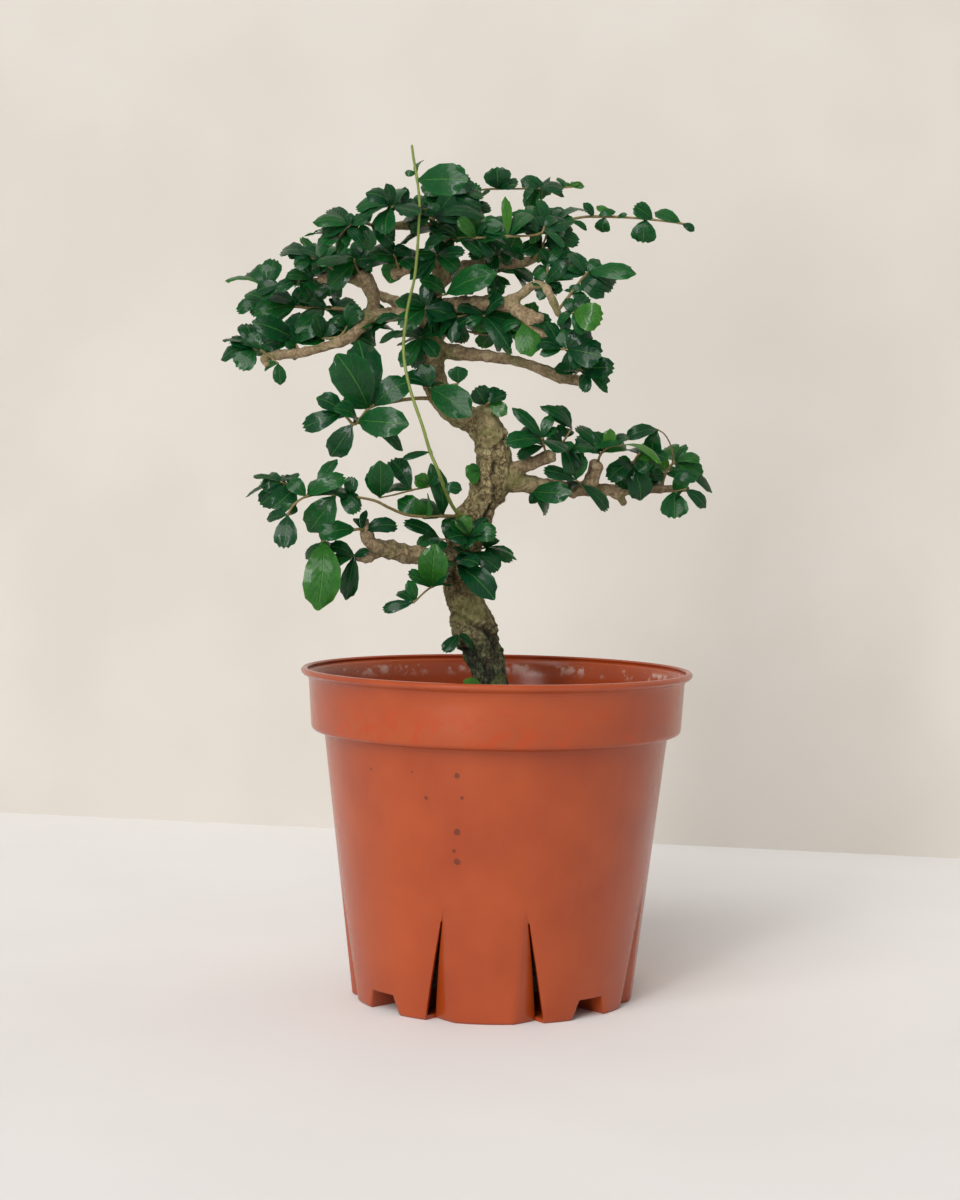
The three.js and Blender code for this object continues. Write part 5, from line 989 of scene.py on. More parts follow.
def fuse_limbs():
    """All limbs as one skin of even quads about a voxel across, with its centre lines."""
    points, faces, centres = [], [], []
    for _, stations in LIMBS:
        path, radii = limb_tube(stations)
        ring_points, ring_faces = tube(path, radii, RING_SIDES, sum(len(part) for part in points))
        points.append(ring_points)
        faces += ring_faces
        centres.append(np.column_stack([in_view(path), radii]))
    rough_piece = new_piece("limb tubes", in_view(np.vstack(points)), faces, [])
    fuse = rough_piece.modifiers.new("fuse", "REMESH")
    fuse.mode = "VOXEL"
    fuse.voxel_size = VOXEL * MM
    evaluated = rough_piece.evaluated_get(bpy.context.evaluated_depsgraph_get())
    fused = bpy.data.meshes.new_from_object(evaluated)
    bpy.data.objects.remove(rough_piece)
    return fused, np.vstack(centres)


def nearest_centre(points, centres):
    """For each point, which centre-line point is nearest, less its radius, found block by block."""
    found = []
    for start in range(0, len(points), POINT_BLOCK):
        block = points[start:start + POINT_BLOCK]
        away = np.sqrt(((block[:, None] - centres[None, :, :3]) ** 2).sum(-1)) - centres[None, :, 3]
        found.append(away.argmin(axis=1))
    return np.concatenate(found)


# %% Marks on the bark
# Grooves are ([(x, z) along the groove], depth, half width). Knots are (x, z, radius, height), where twigs
# were cut. All are on the front of the tree, in millimetres.
GROOVES = [
    ([(-17.5, 156), (-13, 153.5), (-7, 150.5), (-2.5, 147)], 1.5, 0.9),
    ([(-6, 151), (-2, 147.5), (1, 141)], 1.3, 0.8),
    ([(-12, 141), (-7, 137), (-3, 130), (-2, 122)], 1.1, 0.9),
    ([(-1.5, 219), (-3.5, 212), (-2, 205), (-5, 197), (-9, 190)], 1.3, 0.8),
    ([(-12, 186), (-17, 178), (-18.5, 168)], 1.0, 0.8),
    ([(1.5, 228), (-2, 223), (-3, 216)], 0.9, 0.7),
]
KNOTS = [
    (-21, 174, 2.6, 1.3), (-4, 241, 3.0, 1.2), (-9, 206, 2.4, 0.9), (1, 214, 2.2, 0.9),
    (-37, 176, 2.2, 1.1), (-52, 178, 2.0, 1.1), (22, 221, 2.0, 0.8), (39, 219, 2.0, 0.8),
    (-14, 162, 2.6, 0.8), (-7, 143, 2.4, 0.8), (-28, 262, 2.6, 1.0), (-30, 275, 2.2, 1.0),
]
THICKEST = 8.5              # bark grows no coarser on limbs of a larger radius
WINDING = 0.045             # how far the pattern turns round the limb, in radians per millimetre of height


# %% Bark relief
def raise_bark(fused, centres):
    """Moves the skin along its normals. Furrows are the crests of ridged noise, 1 - |noise|, stretched
    nearly four times along z. Plates are noise stretched about twice, scales are finer noise, and knuckles
    are the high places of a broad one. All are shares of the limb's radius."""
    count = len(fused.vertices)
    points, normals = np.empty(count * 3), np.empty(count * 3)
    fused.vertices.foreach_get("co", points)
    fused.vertex_normals.foreach_get("vector", normals)
    points, normals = points.reshape(-1, 3) / MM, normals.reshape(-1, 3)
    radius = centres[nearest_centre(points, centres), 3]
    unit_height = np.minimum(radius, THICKEST)
    twisted = points.copy()
    turn = points[:, 2] * WINDING
    twisted[:, 0] = points[:, 0] * np.cos(turn) - points[:, 1] * np.sin(turn)
    twisted[:, 1] = points[:, 0] * np.sin(turn) + points[:, 1] * np.cos(turn)
    thick = np.clip((radius - 2) / 5, 0, 1)
    stretched = twisted * [1, 1, 0.28]
    furrow = 1 - np.abs(rough(stretched, 3.4, 3, seed=21))
    furrow = np.clip((furrow - 0.86) / 0.14, 0, 1) ** 1.5
    plates = rough(twisted * [1, 1, 0.45], 4.2, 3, seed=31)
    scales = rough(points, 1.7, 2, seed=41)
    knuckles = np.clip(rough(points, 6.0, 2, seed=51) - 0.35, 0, 1)
    relief = (0.09 * plates + 0.085 * scales + 0.30 * knuckles - 0.06 * furrow) * (0.6 + 0.4 * thick)
    front = normals[:, 1] < 0.1
    for path, depth, width in GROOVES:
        curve = smooth_path(np.array(path, float), 0.5)
        away = np.linalg.norm(points[:, None, [0, 2]] - curve[None], axis=-1).min(axis=1)
        relief -= front * depth / unit_height * np.exp(-(away / width) ** 2)
    for x, z, reach, height in KNOTS:
        away = np.hypot(points[:, 0] - x, points[:, 2] - z) / reach
        dome = np.exp(-away ** 4) * (1 - 0.5 * np.exp(-(away / 0.4) ** 2))
        relief += front * height / unit_height * dome
    moved = points + normals * (relief * unit_height)[:, None]
    fused.vertices.foreach_set("co", (moved * MM).ravel())
    point_values(fused, "relief", np.clip(0.5 + 1.9 * (relief - relief.mean()), 0, 1))
    point_values(fused, "girth", np.clip(radius / 8, 0, 1))
    fused.update()
    lowest, highest = ((relief * unit_height).min(), (relief * unit_height).max())
    print("bark:", count, "points, relief mm:", lowest.round(2), highest.round(2))


# %% [markdown]
# ### Bark
#
# Bark of an old Fukien tea is dry, corky and scaly. Plate tops weather to a pale grey-tan, their sides
# are warmer brown, and the furrows are darker; the colour follows the relief, so the dark furrows are
# partly the bark's own colour and partly painted shade. Near the soil it holds green algae, and young
# wood is smoother and more olive.


# %% Bark material
MOSS_TOP, MOSS_FULL = 160, 138      # heights at which moss begins and is full, in millimetres


def corky_bark():
    """Colour follows the relief: dark furrow, brown side, tan plate, the furrow's darkness partly the bark's
    own and partly painted shade. Green comes with damp, near the foot and in patches, and a net of dark
    cracks runs over the thick wood."""
    material, shader, add = new_material("dry corky bark", 0.86)
    place = add(COORDINATES).outputs["Object"]
    relief = add(ATTRIBUTE, attribute_name="relief").outputs["Fac"]
    girth = add(ATTRIBUTE, attribute_name="girth").outputs["Fac"]
    fine = add(NOISE, {"Vector": place, "Scale": 1 / (1.33 * MM), "Detail": 6.0,
                       "Roughness": 0.7}).outputs["Fac"]
    broad = add(NOISE, {"Vector": place, "Scale": 1 / (10.5 * MM), "Detail": 3.0}).outputs["Fac"]
    # Painted shade: height carries the relief into the colour, so the old, young and mossy ramps darken the
    # sunk parts nearly to black, beyond the bark's own darker furrows.
    coarse_part = add(MATH, {0: relief, 1: 0.42}, operation="MULTIPLY").outputs[0]
    fine_part = add(MATH, {0: fine, 1: 0.66}, operation="MULTIPLY").outputs[0]
    height = add(MATH, {0: coarse_part, 1: fine_part}, operation="ADD").outputs[0]
    old = add(RAMP, {"Fac": height}, [(0.3, "#1b140b"), (0.41, "#56492c"), (0.52, "#8a7b51"),
                                      (0.68, "#bfae80")]).outputs["Color"]
    young = add(RAMP, {"Fac": height}, [(0.3, "#36281c"), (0.42, "#7a634c"), (0.53, "#a08769"),
                                        (0.7, "#cfb897")]).outputs["Color"]
    thin = add(RANGE, {"Value": girth, "From Min": 0.75, "From Max": 0.3, "To Max": 0.75},
               **SMOOTH).outputs[0]
    colour = add(MIX, {0: thin, FIRST: old, SECOND: young}, **COLOURS).outputs[MIXED]

    level = add(SPLIT, {"Vector": place}).outputs["Z"]
    low = add(RANGE, {"Value": level, "From Min": MOSS_TOP * MM, "From Max": MOSS_FULL * MM},
              **SMOOTH).outputs[0]
    uneven = add(RANGE, {"Value": broad, "From Min": 0.25, "From Max": 0.5, "To Min": 0.6},
                 **SMOOTH).outputs[0]
    damp = add(MATH, {0: low, 1: uneven}, operation="MULTIPLY").outputs[0]
    upright = add(MAPPING, {"Vector": place, "Scale": (1, 1, 0.13)}).outputs["Vector"]
    fibre = add(NOISE, {"Vector": upright, "Scale": 1 / (1.11 * MM), "Detail": 3.0}).outputs["Fac"]
    fibrous = add(MIX, {0: 0.65, 2: height, 3: fibre}, data_type="FLOAT").outputs[0]
    mossy = add(RAMP, {"Fac": fibrous}, [(0.4, "#080d06"), (0.51, "#263219"),
                                         (0.62, "#66744a")]).outputs["Color"]
    colour = add(MIX, {0: damp, FIRST: colour, SECOND: mossy}, **COLOURS).outputs[MIXED]
    algae = add(RANGE, {"Value": broad, "From Min": 0.5, "From Max": 0.64, "To Max": 0.5},
                **SMOOTH).outputs[0]
    colour = add(MIX, {0: algae, FIRST: colour, SECOND: linear("#747a3f")}, **COLOURS).outputs[MIXED]

    wavy = add(NOISE, {"Vector": place, "Scale": 1 / (3.33 * MM), "Detail": 3.0}).outputs["Color"]
    bent = add(MIX, {0: 0.004, 4: place, 5: wavy}, data_type="VECTOR").outputs[1]
    seam = add(VORONOI, {"Vector": bent, "Scale": 1 / (3.03 * MM)},
               feature="DISTANCE_TO_EDGE").outputs["Distance"]
    seam = add(RANGE, {"Value": seam, "From Min": 0.075, "From Max": 0.015}, **SMOOTH).outputs[0]
    where = add(RANGE, {"Value": broad, "From Min": 0.62, "From Max": 0.42}, **SMOOTH).outputs[0]
    thick = add(RANGE, {"Value": girth, "From Min": 0.45, "From Max": 0.8}, **SMOOTH).outputs[0]
    crack = seam
    for share in (where, thick):
        crack = add(MATH, {0: crack, 1: share}, operation="MULTIPLY").outputs[0]
    shade = add(MATH, {0: crack, 1: 0.72}, operation="MULTIPLY").outputs[0]
    colour = add(MIX, {0: shade, FIRST: colour, SECOND: linear("#2a1a0f")}, **COLOURS).outputs[MIXED]
    sunk = add(MATH, {0: crack, 1: -0.35, 2: fine}, operation="MULTIPLY_ADD").outputs[0]
    normal = add(BUMP, {"Height": sunk, "Strength": 1.0, "Distance": 1.9 * MM}).outputs["Normal"]
    return finish_material(material, shader, Base_Color=colour, Normal=normal)


fused_wood, centre_lines = fuse_limbs()
raise_bark(fused_wood, centre_lines)
fused_wood.materials.append(corky_bark())
fused_wood.polygons.foreach_set("use_smooth", np.ones(len(fused_wood.polygons), bool))
stand_for(add_object("trunk_and_old_branches", fused_wood), "trunk_and_branches")
print("wood faces:", len(fused_wood.polygons))

# %% [markdown]
# ## Leaves
#
# A leaf is a spoon-shaped blade with three to five blunt teeth at its tip, thick and leathery, arched
# along its length and rolled a little at its edges. It could be a flat card with a picture of a leaf, but
# a card has no thickness and no sheen of its own. Here each blade is a grid of seven by seven points for
# its upper face and another for its lower face, which meet at the outline, so that each leaf is a thin
# closed solid.

# %% One blade as a function of two shares
ALONG = np.array([0, 0.07, 0.22, 0.45, 0.7, 0.9, 1.0])
ACROSS = np.linspace(-1, 1, 7)
WIDTH_PLAIN = np.array([0.08, 0.18, 0.64, 0.98, 1.05, 0.78, 0.36])
WIDTH_TOOTHED = np.array([0.08, 0.16, 0.56, 0.90, 1.04, 0.90, 0.60])
TIP_PLAIN = -0.09 * ACROSS ** 2
TIP_TOOTHED = np.array([-0.12, -0.02, -0.065, 0.0, -0.065, -0.02, -0.12])
LEAF_THICKNESS = 0.3
PETIOLE_HALF = 0.32


def leaf_faces():
    """Quads of the upper grid, and of the lower one turned over. The two share the outline's points."""
    size = len(ALONG)
    upper = grid_faces(size, size)
    inner = np.arange(size * size).reshape(size, size)
    lower_points = inner.copy()
    lower_points[1:-1, 1:-1] = size * size + np.arange((size - 2) ** 2).reshape(size - 2, size - 2)
    lower = lower_points.ravel()[upper][:, ::-1]
    return np.vstack([upper[:, ::-1], lower])


def leaf_points(base, tip, width, face, numbers, toothed):
    """Points of many leaves at once. A blade runs from base to tip, its half width is a profile of the
    way along, its middle is arched towards its face, its edges roll down or cup up, and its tip row
    carries the teeth."""
    length = np.linalg.norm(tip - base, axis=1)[:, None]
    along = (tip - base) / length
    normal = unit(face - along * (face * along).sum(-1, keepdims=True))
    across = np.cross(normal, along)
    u, v = ALONG[None, :, None], ACROSS[None, None, :]
    scale = length[:, :, None]
    half = np.where(toothed[:, None], WIDTH_TOOTHED, WIDTH_PLAIN)[:, :, None] * width[:, None, None] / 2
    half = np.maximum(half, PETIOLE_HALF)
    tip_shape = np.where(toothed[:, None], TIP_TOOTHED, TIP_PLAIN)[:, None, :]
    arch, cup, lean = (chances(numbers, seed)[:, None, None] for seed in (1, 2, 3))
    forward = scale * (u + tip_shape * u ** 8)
    sideways = half * v + scale * 0.07 * (lean - 0.5) * np.sin(math.pi * u)
    height = scale * (0.07 + 0.13 * arch) * 4 * u * (1 - u) - scale * 0.10 * arch * u ** 3
    height = height + half * (0.42 * (cup - 0.62)) * v ** 2 - half * 0.08 * np.exp(-(v / 0.2) ** 2)
    height = height + half * 0.05 * np.sin(4.0 * math.pi * u + 3 * lean) * v ** 2
    blade = (base[:, None, None] + forward[..., None] * along[:, None, None]
             + sideways[..., None] * across[:, None, None] + height[..., None] * normal[:, None, None])
    below = blade[:, 1:-1, 1:-1] - LEAF_THICKNESS * normal[:, None, None]
    count = len(base)
    grid_uv = np.stack(np.broadcast_arrays((v[0] + 1) / 2, u[0]), axis=-1)
    uv = np.vstack([grid_uv.reshape(-1, 2), grid_uv[1:-1, 1:-1].reshape(-1, 2)])
    return np.concatenate([blade.reshape(count, -1, 3), below.reshape(count, -1, 3)], axis=1), uv


# %% Where leaves sit
def nearest_on(paths, x, z):
    """The point of the twigs nearest to (x, z) as seen from the front."""
    best = None
    for path in paths:
        start, step = path[:-1], np.diff(path, axis=0)
        share = ((x - start[:, 0]) * step[:, 0] + (z - start[:, 2]) * step[:, 2])
        share = np.clip(share / (step[:, 0] ** 2 + step[:, 2] ** 2 + 1e-9), 0, 1)
        points = start + step * share[:, None]
        away = np.hypot(points[:, 0] - x, points[:, 2] - z)
        k = away.argmin()
        if best is None or away[k] < best[0]:
            best = (away[k], points[k])
    return best[1]


def listed_leaves(rows, paths):
    """Base, tip, width and facing of the listed leaves. At a turn of 90 degrees a leaf faces the front, and
    at a smaller one it leans back."""
    rows = np.array(rows, float)
    base = np.array([nearest_on(paths, row[0], row[1]) for row in rows])
    flat = np.hypot(rows[:, 2] - base[:, 0], rows[:, 3] - base[:, 2])
    swing = LEAF_SWING * flat * np.cos(np.arange(len(rows)) * GOLDEN_ANGLE)
    tip = np.column_stack([rows[:, 2], base[:, 1] + rows[:, 5] - swing, rows[:, 3]])
    along = unit(tip - base)
    front = unit(np.array([[0.0, -1, 0]]) + along * along[:, 1:2])
    up = np.cross(along, front)
    up *= np.where(up[:, 2:] < 0, -1, 1)
    lean = np.radians(90 - rows[:, 6:7])
    return base, tip, rows[:, 4], front * np.cos(lean) + up * np.sin(lean)


def whorled_leaves(path, count, length):
    """Leaves spaced round a far twig by the golden angle, reaching outwards and a little forward and up."""
    k = np.arange(count)
    share = 0.3 + 0.7 * (k + 1) / count
    curve = smooth_path(path, 0.5)
    at = share * (len(curve) - 1)
    base, slope = (np.column_stack([np.interp(at, np.arange(len(curve)), column) for column in values.T])
                   for values in (curve, np.gradient(curve, axis=0)))
    along = unit(slope)
    side = unit(np.cross([0, 0, 1.0], along))
    rise = np.cross(along, side)
    angle = (k * GOLDEN_ANGLE)[:, None]
    reach = length * (0.75 + 0.4 * (k * 0.618 % 1))
    direction = unit(side * np.cos(angle) + 0.7 * rise * np.sin(angle) + 0.5 * along + [0, 0, 0.25])
    face = np.tile([0, 0.35, 1.0], (count, 1))
    return base, base + direction * reach[:, None], reach * 0.55, face


def companion_leaves(leaves, number):
    """More leaves of each whorl, set round the listed one by the golden angle and mostly behind it: one for
    each listed leaf, three in the crown, and two in the tuft that hides the trunk's first bend, where they
    come forward. They are a little shorter, face up and outwards, and stay under the tree's top."""
    base, tip, width, face = leaves
    in_tuft = np.hypot(base[:, 0] - TUFT_X, base[:, 2] - TUFT_Z) < TUFT_REACH
    crown = np.flatnonzero(base[:, 2] > CROWN_BASE)
    which = np.concatenate([np.arange(len(base)), crown, crown, np.flatnonzero(in_tuft)])
    numbers = np.arange(len(which)) + 3.7 * number
    base, along = base[which], (tip - base)[which]
    length = np.linalg.norm(along, axis=1, keepdims=True)
    angle = (numbers * GOLDEN_ANGLE)[:, None]
    backwards = np.where(in_tuft[which, None], -0.5, 0.45) + 0.5 * np.sin(1.7 * angle)
    spin = np.hstack([np.cos(angle), backwards, 0.15 + 0.6 * np.sin(angle)])
    direction = unit(0.55 * along / length + spin)
    chance = chances(numbers, 4)[:, None]
    reach = np.clip(length * (0.6 + 0.45 * chance), *COMPANION_LENGTHS)
    face = np.hstack([0.5 * np.cos(2.3 * angle), -0.75 + 0 * angle, 0.55 + 0.5 * chance])
    tip = base + direction * reach
    tip[:, 2] -= np.clip(in_view(tip)[:, 2] - TREE_TOP + ARCH_ROOM, 0, None)
    return base, tip, reach[:, 0] * (0.62 + 0.16 * chance[:, 0]), face


# %% Young and old leaves
# [x, z] of the brightest young leaves and of the darkest old ones.
YOUNG_PLACES = np.array([
    (-24, 335), (1.5, 321), (12, 321), (-15, 314), (40, 320), (46, 298), (36, 276), (10, 267), (0, 240),
    (-9, 213), (45, 228), (68, 219), (76, 220), (-32, 209), (-34, 201), (-73, 170), (-28, 177), (-15, 195),
    (-9, 128), (-105, 289), (27, 331), (72, 225), (60, 222), (-37, 257)])
OLD_PLACES = np.array([
    (-20, 328), (-15, 323), (-13, 270), (-3, 275), (38, 262), (-22, 243), (0, 245), (10, 235), (36, 227),
    (52, 214), (57, 207), (-29, 215), (-33, 190), (-63, 187), (-60, 169), (-47, 191), (-9, 168)])
PLACE_REACH = 3.5


def leaf_tones(base, tip, numbers):
    """From 0 for an old dark leaf to 1 for a young pale one: low by chance, and set near the places."""
    middle = (0.4 * base + 0.6 * tip)[:, [0, 2]]
    young, old = (np.linalg.norm(middle[:, None] - places[None], axis=-1).min(axis=1)
                  for places in (YOUNG_PLACES, OLD_PLACES))
    young, old = (np.exp(-(away / PLACE_REACH) ** 2) for away in (young, old))
    return np.clip(0.06 + 0.42 * chances(numbers, 9) ** 1.6 + 0.6 * young - 0.25 * old, 0, 1)


# %% [markdown]
# ### Leaf finishes
#
# The upper face has a thick waxy skin: dark green with a clear gloss, a pale midrib with side veins and
# scattered pale hair dots. The lower face is paler, greyer and nearly matt. Each leaf has a tone of its
# own, from old and blue-green to young and yellow-green. Light passing through the blade is drawn as a
# little subsurface scatter.


# %% Leaf and twig materials
VEIN_PAIRS = 7.0
VEIN_SLANT = 0.75           # how far a side vein runs towards the tip, in shares of the length, per width


def leaf_skin(name, old, mid, young, vein, roughness, coat):
    """Colour by the leaf's tone and a fine mottle, then hair dots, and veins by the blade's own UV map."""
    material, shader, add = new_material(name, roughness, **{
        "Coat Weight": coat, "Coat Roughness": 0.1, "Specular IOR Level": 0.16, "Subsurface Weight": 0.12,
        "Subsurface Scale": 2 * MM, "Subsurface Radius": (0.4, 1.0, 0.15)})
    place = add(COORDINATES)
    mottle = add(NOISE, {"Vector": place.outputs["Object"], "Scale": 1 / (2.63 * MM),
                         "Detail": 4.0}).outputs["Fac"]
    tone = add(ATTRIBUTE, attribute_name="tone").outputs["Fac"]
    mottled = add(MATH, {0: mottle, 1: 0.35, 2: -0.175}, operation="MULTIPLY_ADD").outputs[0]
    toned = add(MATH, {0: tone, 1: mottled}, operation="ADD").outputs[0]
    colour = add(RAMP, {"Fac": toned}, [(0.1, old), (0.5, mid), (0.95, young)]).outputs["Color"]

    blade = add(SPLIT, {"Vector": place.outputs["UV"]})
    across = add(MATH, {0: blade.outputs["X"], 1: 0.5}, operation="SUBTRACT").outputs[0]
    across = add(MATH, {0: across}, operation="ABSOLUTE").outputs[0]
    way = add(MATH, {0: across, 1: -VEIN_SLANT, 2: blade.outputs["Y"]}, operation="MULTIPLY_ADD").outputs[0]
    for operation, amount in (("MULTIPLY", VEIN_PAIRS), ("FRACT", 0), ("SUBTRACT", 0.5), ("ABSOLUTE", 0)):
        way = add(MATH, {0: way, 1: amount}, operation=operation).outputs[0]
    stripe = add(RANGE, {"Value": way, "From Min": 0.09, "From Max": 0.02}, **SMOOTH).outputs[0]
    fade = add(RANGE, {"Value": across, "From Min": 0.42, "From Max": 0.2}, **SMOOTH).outputs[0]
    side_vein = add(MATH, {0: stripe, 1: fade}, operation="MULTIPLY").outputs[0]
    midrib = add(RANGE, {"Value": across, "From Min": 0.035, "From Max": 0.012}, **SMOOTH).outputs[0]
    dots = add(VORONOI, {"Vector": place.outputs["Object"], "Scale": 1 / (0.91 * MM)}).outputs["Distance"]
    dots = add(RANGE, {"Value": dots, "From Min": 0.2, "From Max": 0.1}, **SMOOTH).outputs[0]
    for mark, strength in ((side_vein, 0.16), (dots, 0.3), (midrib, 0.5)):
        share = add(MATH, {0: mark, 1: strength}, operation="MULTIPLY").outputs[0]
        colour = add(MIX, {0: share, FIRST: colour, SECOND: linear(vein)}, **COLOURS).outputs[MIXED]

    ridges = add(MATH, {0: mottle, 1: 0.8}, operation="MULTIPLY").outputs[0]
    ridges = add(MATH, {0: ridges, 1: midrib}, operation="SUBTRACT").outputs[0]
    ridges = add(MATH, {0: side_vein, 1: -0.6, 2: ridges}, operation="MULTIPLY_ADD").outputs[0]
    normal = add(BUMP, {"Height": ridges, "Strength": 0.8, "Distance": 0.6 * MM}).outputs["Normal"]
    return finish_material(material, shader, Base_Color=colour, Normal=normal)


def twig_skin(name, old, young, roughness):
    """Green to brown stem skin, with streaks about a millimetre and a half wide."""
    material, shader, add = new_material(name, roughness)
    place = add(COORDINATES).outputs["Object"]
    streak = add(NOISE, {"Vector": place, "Scale": 1 / (1.43 * MM), "Detail": 3.0}).outputs["Fac"]
    broad = add(NOISE, {"Vector": place, "Scale": 1 / (16.7 * MM)}).outputs["Fac"]
    both = add(MIX, {0: 0.5, 2: streak, 3: broad}, data_type="FLOAT").outputs[0]
    colour = add(RAMP, {"Fac": both}, [(0.35, old), (0.65, young)]).outputs["Color"]
    normal = add(BUMP, {"Height": streak, "Strength": 0.5, "Distance": 0.3 * MM}).outputs["Normal"]
    return finish_material(material, shader, Base_Color=colour, Normal=normal)


upper_skin = leaf_skin("waxy upper leaf skin", "#04331a", "#0c491b", "#3a6d1b", "#4a8239", 0.34, 0.22)
lower_skin = leaf_skin("matt lower leaf skin", "#1d4a24", "#2f6a2b", "#4f8a30", "#76a04e", 0.55, 0.0)
twig_bark = twig_skin("young twig bark", "#62512e", "#8a7a4a", 0.6)
shoot_bark = twig_skin("green water shoot skin", "#5f6f2b", "#7f8f3e", 0.45)


# %% A spray: one green twig and its leaves
SHOOT_THICKENING = 1.15     # the water shoot is drawn thicker by this factor
TWIG_SIDES = 8
TOOTHED_LENGTHS, TOOTHED_WIDTH = (8, 19), 4.5       # two in three leaves of these sizes are toothed


def build_spray(name, diameter, paths, leaves, number, bark):
    """Tapering twigs with a swelling at each leaf, and the blades that grow on them."""
    base, tip, width, face = leaves
    thickness = SHOOT_THICKENING if bark is shoot_bark else 1
    if name not in LONE_TWIGS:
        more = companion_leaves(leaves, number)
        base, tip, width, face = (np.concatenate(pair) for pair in zip(leaves, more))
    points, faces, slots, tones, uvs = [], [], [], [], []
    made = 0
    for path in paths:
        curve = smooth_path(path, 1.2)
        way = np.linspace(0, 1, len(curve))
        joint = np.exp(-(np.linalg.norm(curve[:, None] - base[None], axis=-1).min(axis=1) / 0.9) ** 2)
        uneven = 1 + 0.28 * joint + 0.08 * noise(curve, 2.5, 5)
        radii = diameter / 2 * thickness * (1.1 - 0.4 * way) * uneven
        ring_points, ring_faces = tube(curve, radii, TWIG_SIDES, made)
        points.append(ring_points)
        faces += ring_faces
        slots.append(np.full(len(ring_faces), 2))
        tones.append(np.zeros(len(ring_points)))
        uvs.append(np.zeros((len(ring_points), 2)))
        made += len(ring_points)
    numbers = number * 17.0 + np.arange(len(base))
    length = np.linalg.norm(tip - base, axis=1)
    shortest, longest = TOOTHED_LENGTHS
    toothed = (length > shortest) & (length < longest) & (width > TOOTHED_WIDTH) & (numbers % 3 < 2)
    blades, uv = leaf_points(base, tip, width, face, numbers, toothed)
    one_leaf = leaf_faces()
    count, per_leaf = blades.shape[:2]
    points.append(blades.reshape(-1, 3))
    faces += [*(one_leaf + made + per_leaf * np.arange(count)[:, None, None]).reshape(-1, 4)]
    slots.append(np.tile(np.repeat([0, 1], len(one_leaf) // 2), count))
    tones.append(np.repeat(leaf_tones(base, tip, numbers), per_leaf))
    uvs.append(np.tile(uv, (count, 1)))
    piece = new_piece(name + "_leaves", in_view(np.vstack(points)), faces, [upper_skin, lower_skin, bark],
                      np.vstack(uvs), np.concatenate(slots), {"tone": np.concatenate(tones)})
    stand_for(piece, name)
    return count


# %% All sprays
leaf_count = 0
for number, (name, diameter, path, rows, *side) in enumerate(SPRAYS):
    swing = SPRAY_SWING[number % len(SPRAY_SWING)]
    paths = [swung(one, path[0], swing) for one in [path, *side]]
    bark = shoot_bark if name == "water_shoot" else twig_bark
    leaf_count += build_spray(name, diameter, paths, listed_leaves(rows, paths), number, bark)
for number, (name, diameter, path, count, length) in enumerate(BACK_SPRAYS, len(SPRAYS)):
    far_path = with_depth(path)
    leaf_count += build_spray(name, diameter, [far_path], whorled_leaves(far_path, count, length), number,
                              twig_bark)
print("leaves:", leaf_count, "on", len(SPRAYS) + len(BACK_SPRAYS), "sprays")

# %% [markdown]
# ## The room
#
# A pale floor and a pale wall, one broad soft light high on the left and in front, and an even sky to
# fill the shadows. The light stands far off, so that the room is as bright on one side as on the other. A
# tall strip light to the left of the camera adds glints on the leaves and a faint sheen on the pot.


# %% Floor and wall
def plain_paint(name, colour, one_sided=False):
    """Matt paint: one colour with a very faint mottle about 11 cm wide. A one-sided wall is clear from
    behind, so that the object can be seen from there too."""
    material, shader, add = new_material(name, 0.9)
    place = add(COORDINATES).outputs["Object"]
    cloud = add(NOISE, {"Vector": place, "Scale": 1 / (111 * MM), "Detail": 2.0}).outputs["Fac"]
    paler = add(RANGE, {"Value": cloud, "From Min": 0.3, "From Max": 0.7, "To Max": 0.08},
                **SMOOTH).outputs[0]
    tint = add(MIX, {0: paler, FIRST: linear(colour), SECOND: linear("#ffffff")}, **COLOURS).outputs[MIXED]
    if one_sided:
        behind = add("ShaderNodeNewGeometry").outputs["Backfacing"]
        clear = add("ShaderNodeBsdfTransparent").outputs[0]
        either = add("ShaderNodeMixShader", {0: behind, 1: shader.outputs[0], 2: clear}).outputs[0]
        output = material.node_tree.nodes["Material Output"]
        material.node_tree.links.new(either, output.inputs["Surface"])
    return finish_material(material, shader, Base_Color=tint)


ROOM_REACH = 3000           # millimetres; the wall's foot runs askew, and a little under the floor
WALL_LEFT_Y, WALL_RIGHT_Y, WALL_FOOT = 1021, -190, -1
floor_corners = [(-ROOM_REACH, -ROOM_REACH, 0), (ROOM_REACH, -ROOM_REACH, 0),
                 (ROOM_REACH, ROOM_REACH, 0), (-ROOM_REACH, ROOM_REACH, 0)]
wall_corners = [(-ROOM_REACH, WALL_LEFT_Y, WALL_FOOT), (ROOM_REACH, WALL_RIGHT_Y, WALL_FOOT),
                (ROOM_REACH, WALL_RIGHT_Y, ROOM_REACH), (-ROOM_REACH, WALL_LEFT_Y, ROOM_REACH)]
floor = new_piece("floor", np.array(floor_corners, float), [(0, 1, 2, 3)],
                  [plain_paint("matt floor paint", "#e3e0de")])
backdrop = new_piece("backdrop", np.array(wall_corners, float), [(0, 1, 2, 3)],
                     [plain_paint("matt wall paint", "#c8c2b9", one_sided=True)])


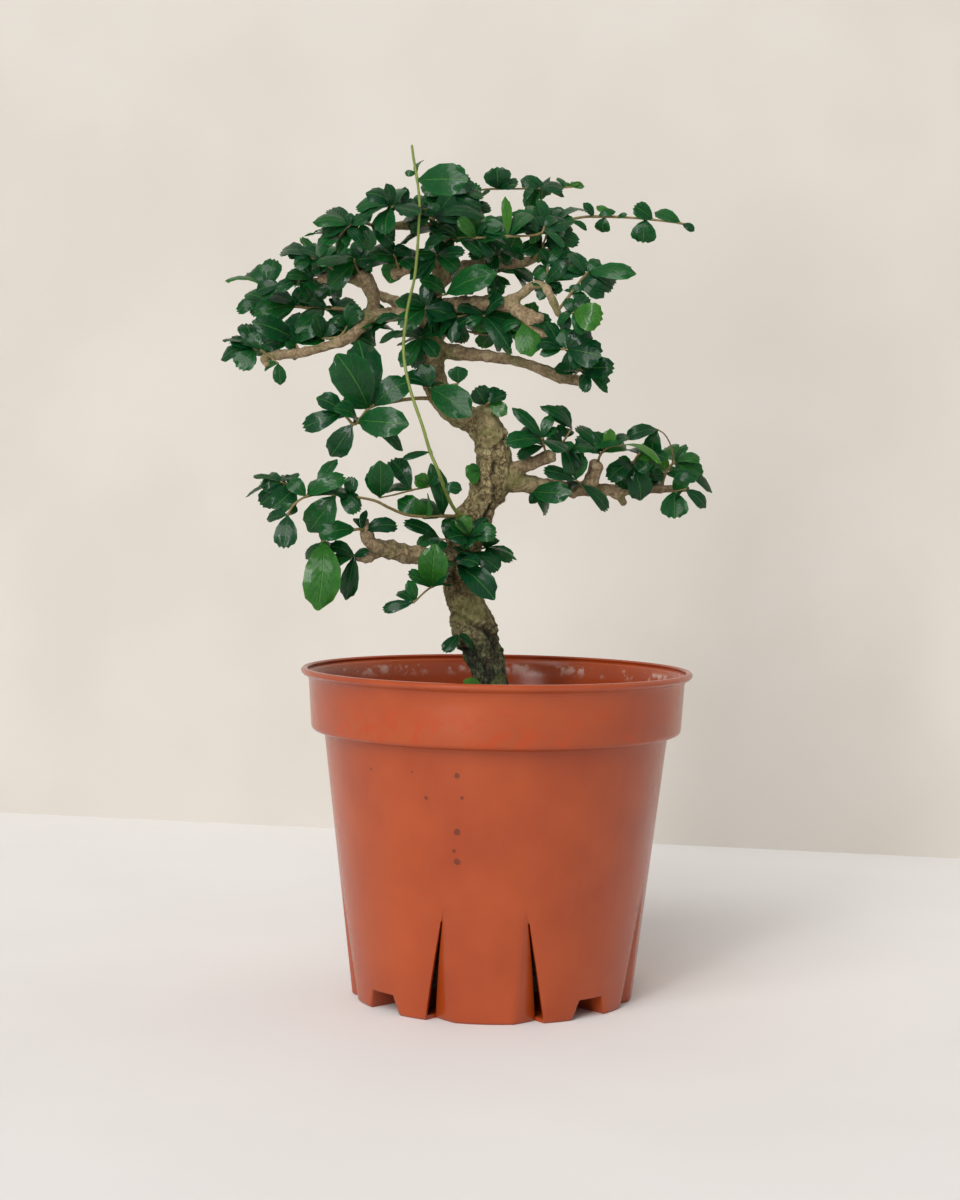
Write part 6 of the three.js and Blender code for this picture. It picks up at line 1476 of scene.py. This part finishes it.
# %% Lights
def soft_light(name, bearing, height, angle, strength, colour):
    """A far lamp, so that floor and wall are lit evenly. The bearing is from the front to the right, and
    the lamp's angle across sets how soft a shadow's edge is. All angles are in degrees."""
    lamp = bpy.data.lights.new(name, "SUN")
    lamp.angle = math.radians(angle)
    lamp.energy = strength
    lamp.color = linear(colour)[:3]
    add_object(name, lamp).matrix_world = (Matrix.Rotation(math.radians(bearing), 4, "Z")
                                           @ Matrix.Rotation(math.radians(90 - height), 4, "X"))


STRIP_BEARING, STRIP_TILT = -24, 86     # degrees: from the front to the right, and up from straight down
STRIP_DISTANCE, STRIP_HEIGHT = 2.6, 0.5     # metres

soft_light("key", bearing=-25, height=42, angle=40, strength=1.85, colour="#fffdfa")
strip = bpy.data.lights.new("strip", "AREA")
strip.shape = "RECTANGLE"
strip.size, strip.size_y = 0.36, 2.1
strip.energy = 34
add_object("strip", strip).matrix_world = (Matrix.Rotation(math.radians(STRIP_BEARING), 4, "Z")
                                           @ Matrix.Translation((0, -STRIP_DISTANCE, STRIP_HEIGHT))
                                           @ Matrix.Rotation(math.radians(STRIP_TILT), 4, "X"))
world = bpy.data.worlds.new("soft sky")
bpy.context.scene.world = world
world.use_nodes = True
sky = world.node_tree.nodes["Background"]
sky.inputs["Color"].default_value = linear("#f1f3f5")
sky.inputs["Strength"].default_value = 0.5

# %% [markdown]
# ## The camera
#
# It stands 0.9 m in front of the pot at the height of the trunk's middle, looks a few degrees down and is
# held a little askew, as by hand. Its long focal length keeps the perspective flat.

# %% Camera
CAMERA_PLACE = (2.33, -900, 204.8)
YAW, PITCH, ROLL = -0.0107, 0.0477, 0.0152      # radians
FOCAL_LENGTH, SENSOR_WIDTH = 66.04, 36          # millimetres
camera = add_object("camera", bpy.data.cameras.new("camera"))
camera.data.lens = FOCAL_LENGTH
camera.data.sensor_width = SENSOR_WIDTH
camera.data.clip_start = 0.01
turn = (Matrix.Rotation(-YAW, 4, "Z") @ Matrix.Rotation(math.pi / 2 - PITCH, 4, "X")
        @ Matrix.Rotation(ROLL, 4, "Z"))
camera.matrix_world = Matrix.Translation([value * MM for value in CAMERA_PLACE]) @ turn
bpy.context.scene.camera = camera
bpy.context.scene.view_settings.view_transform = "Standard"
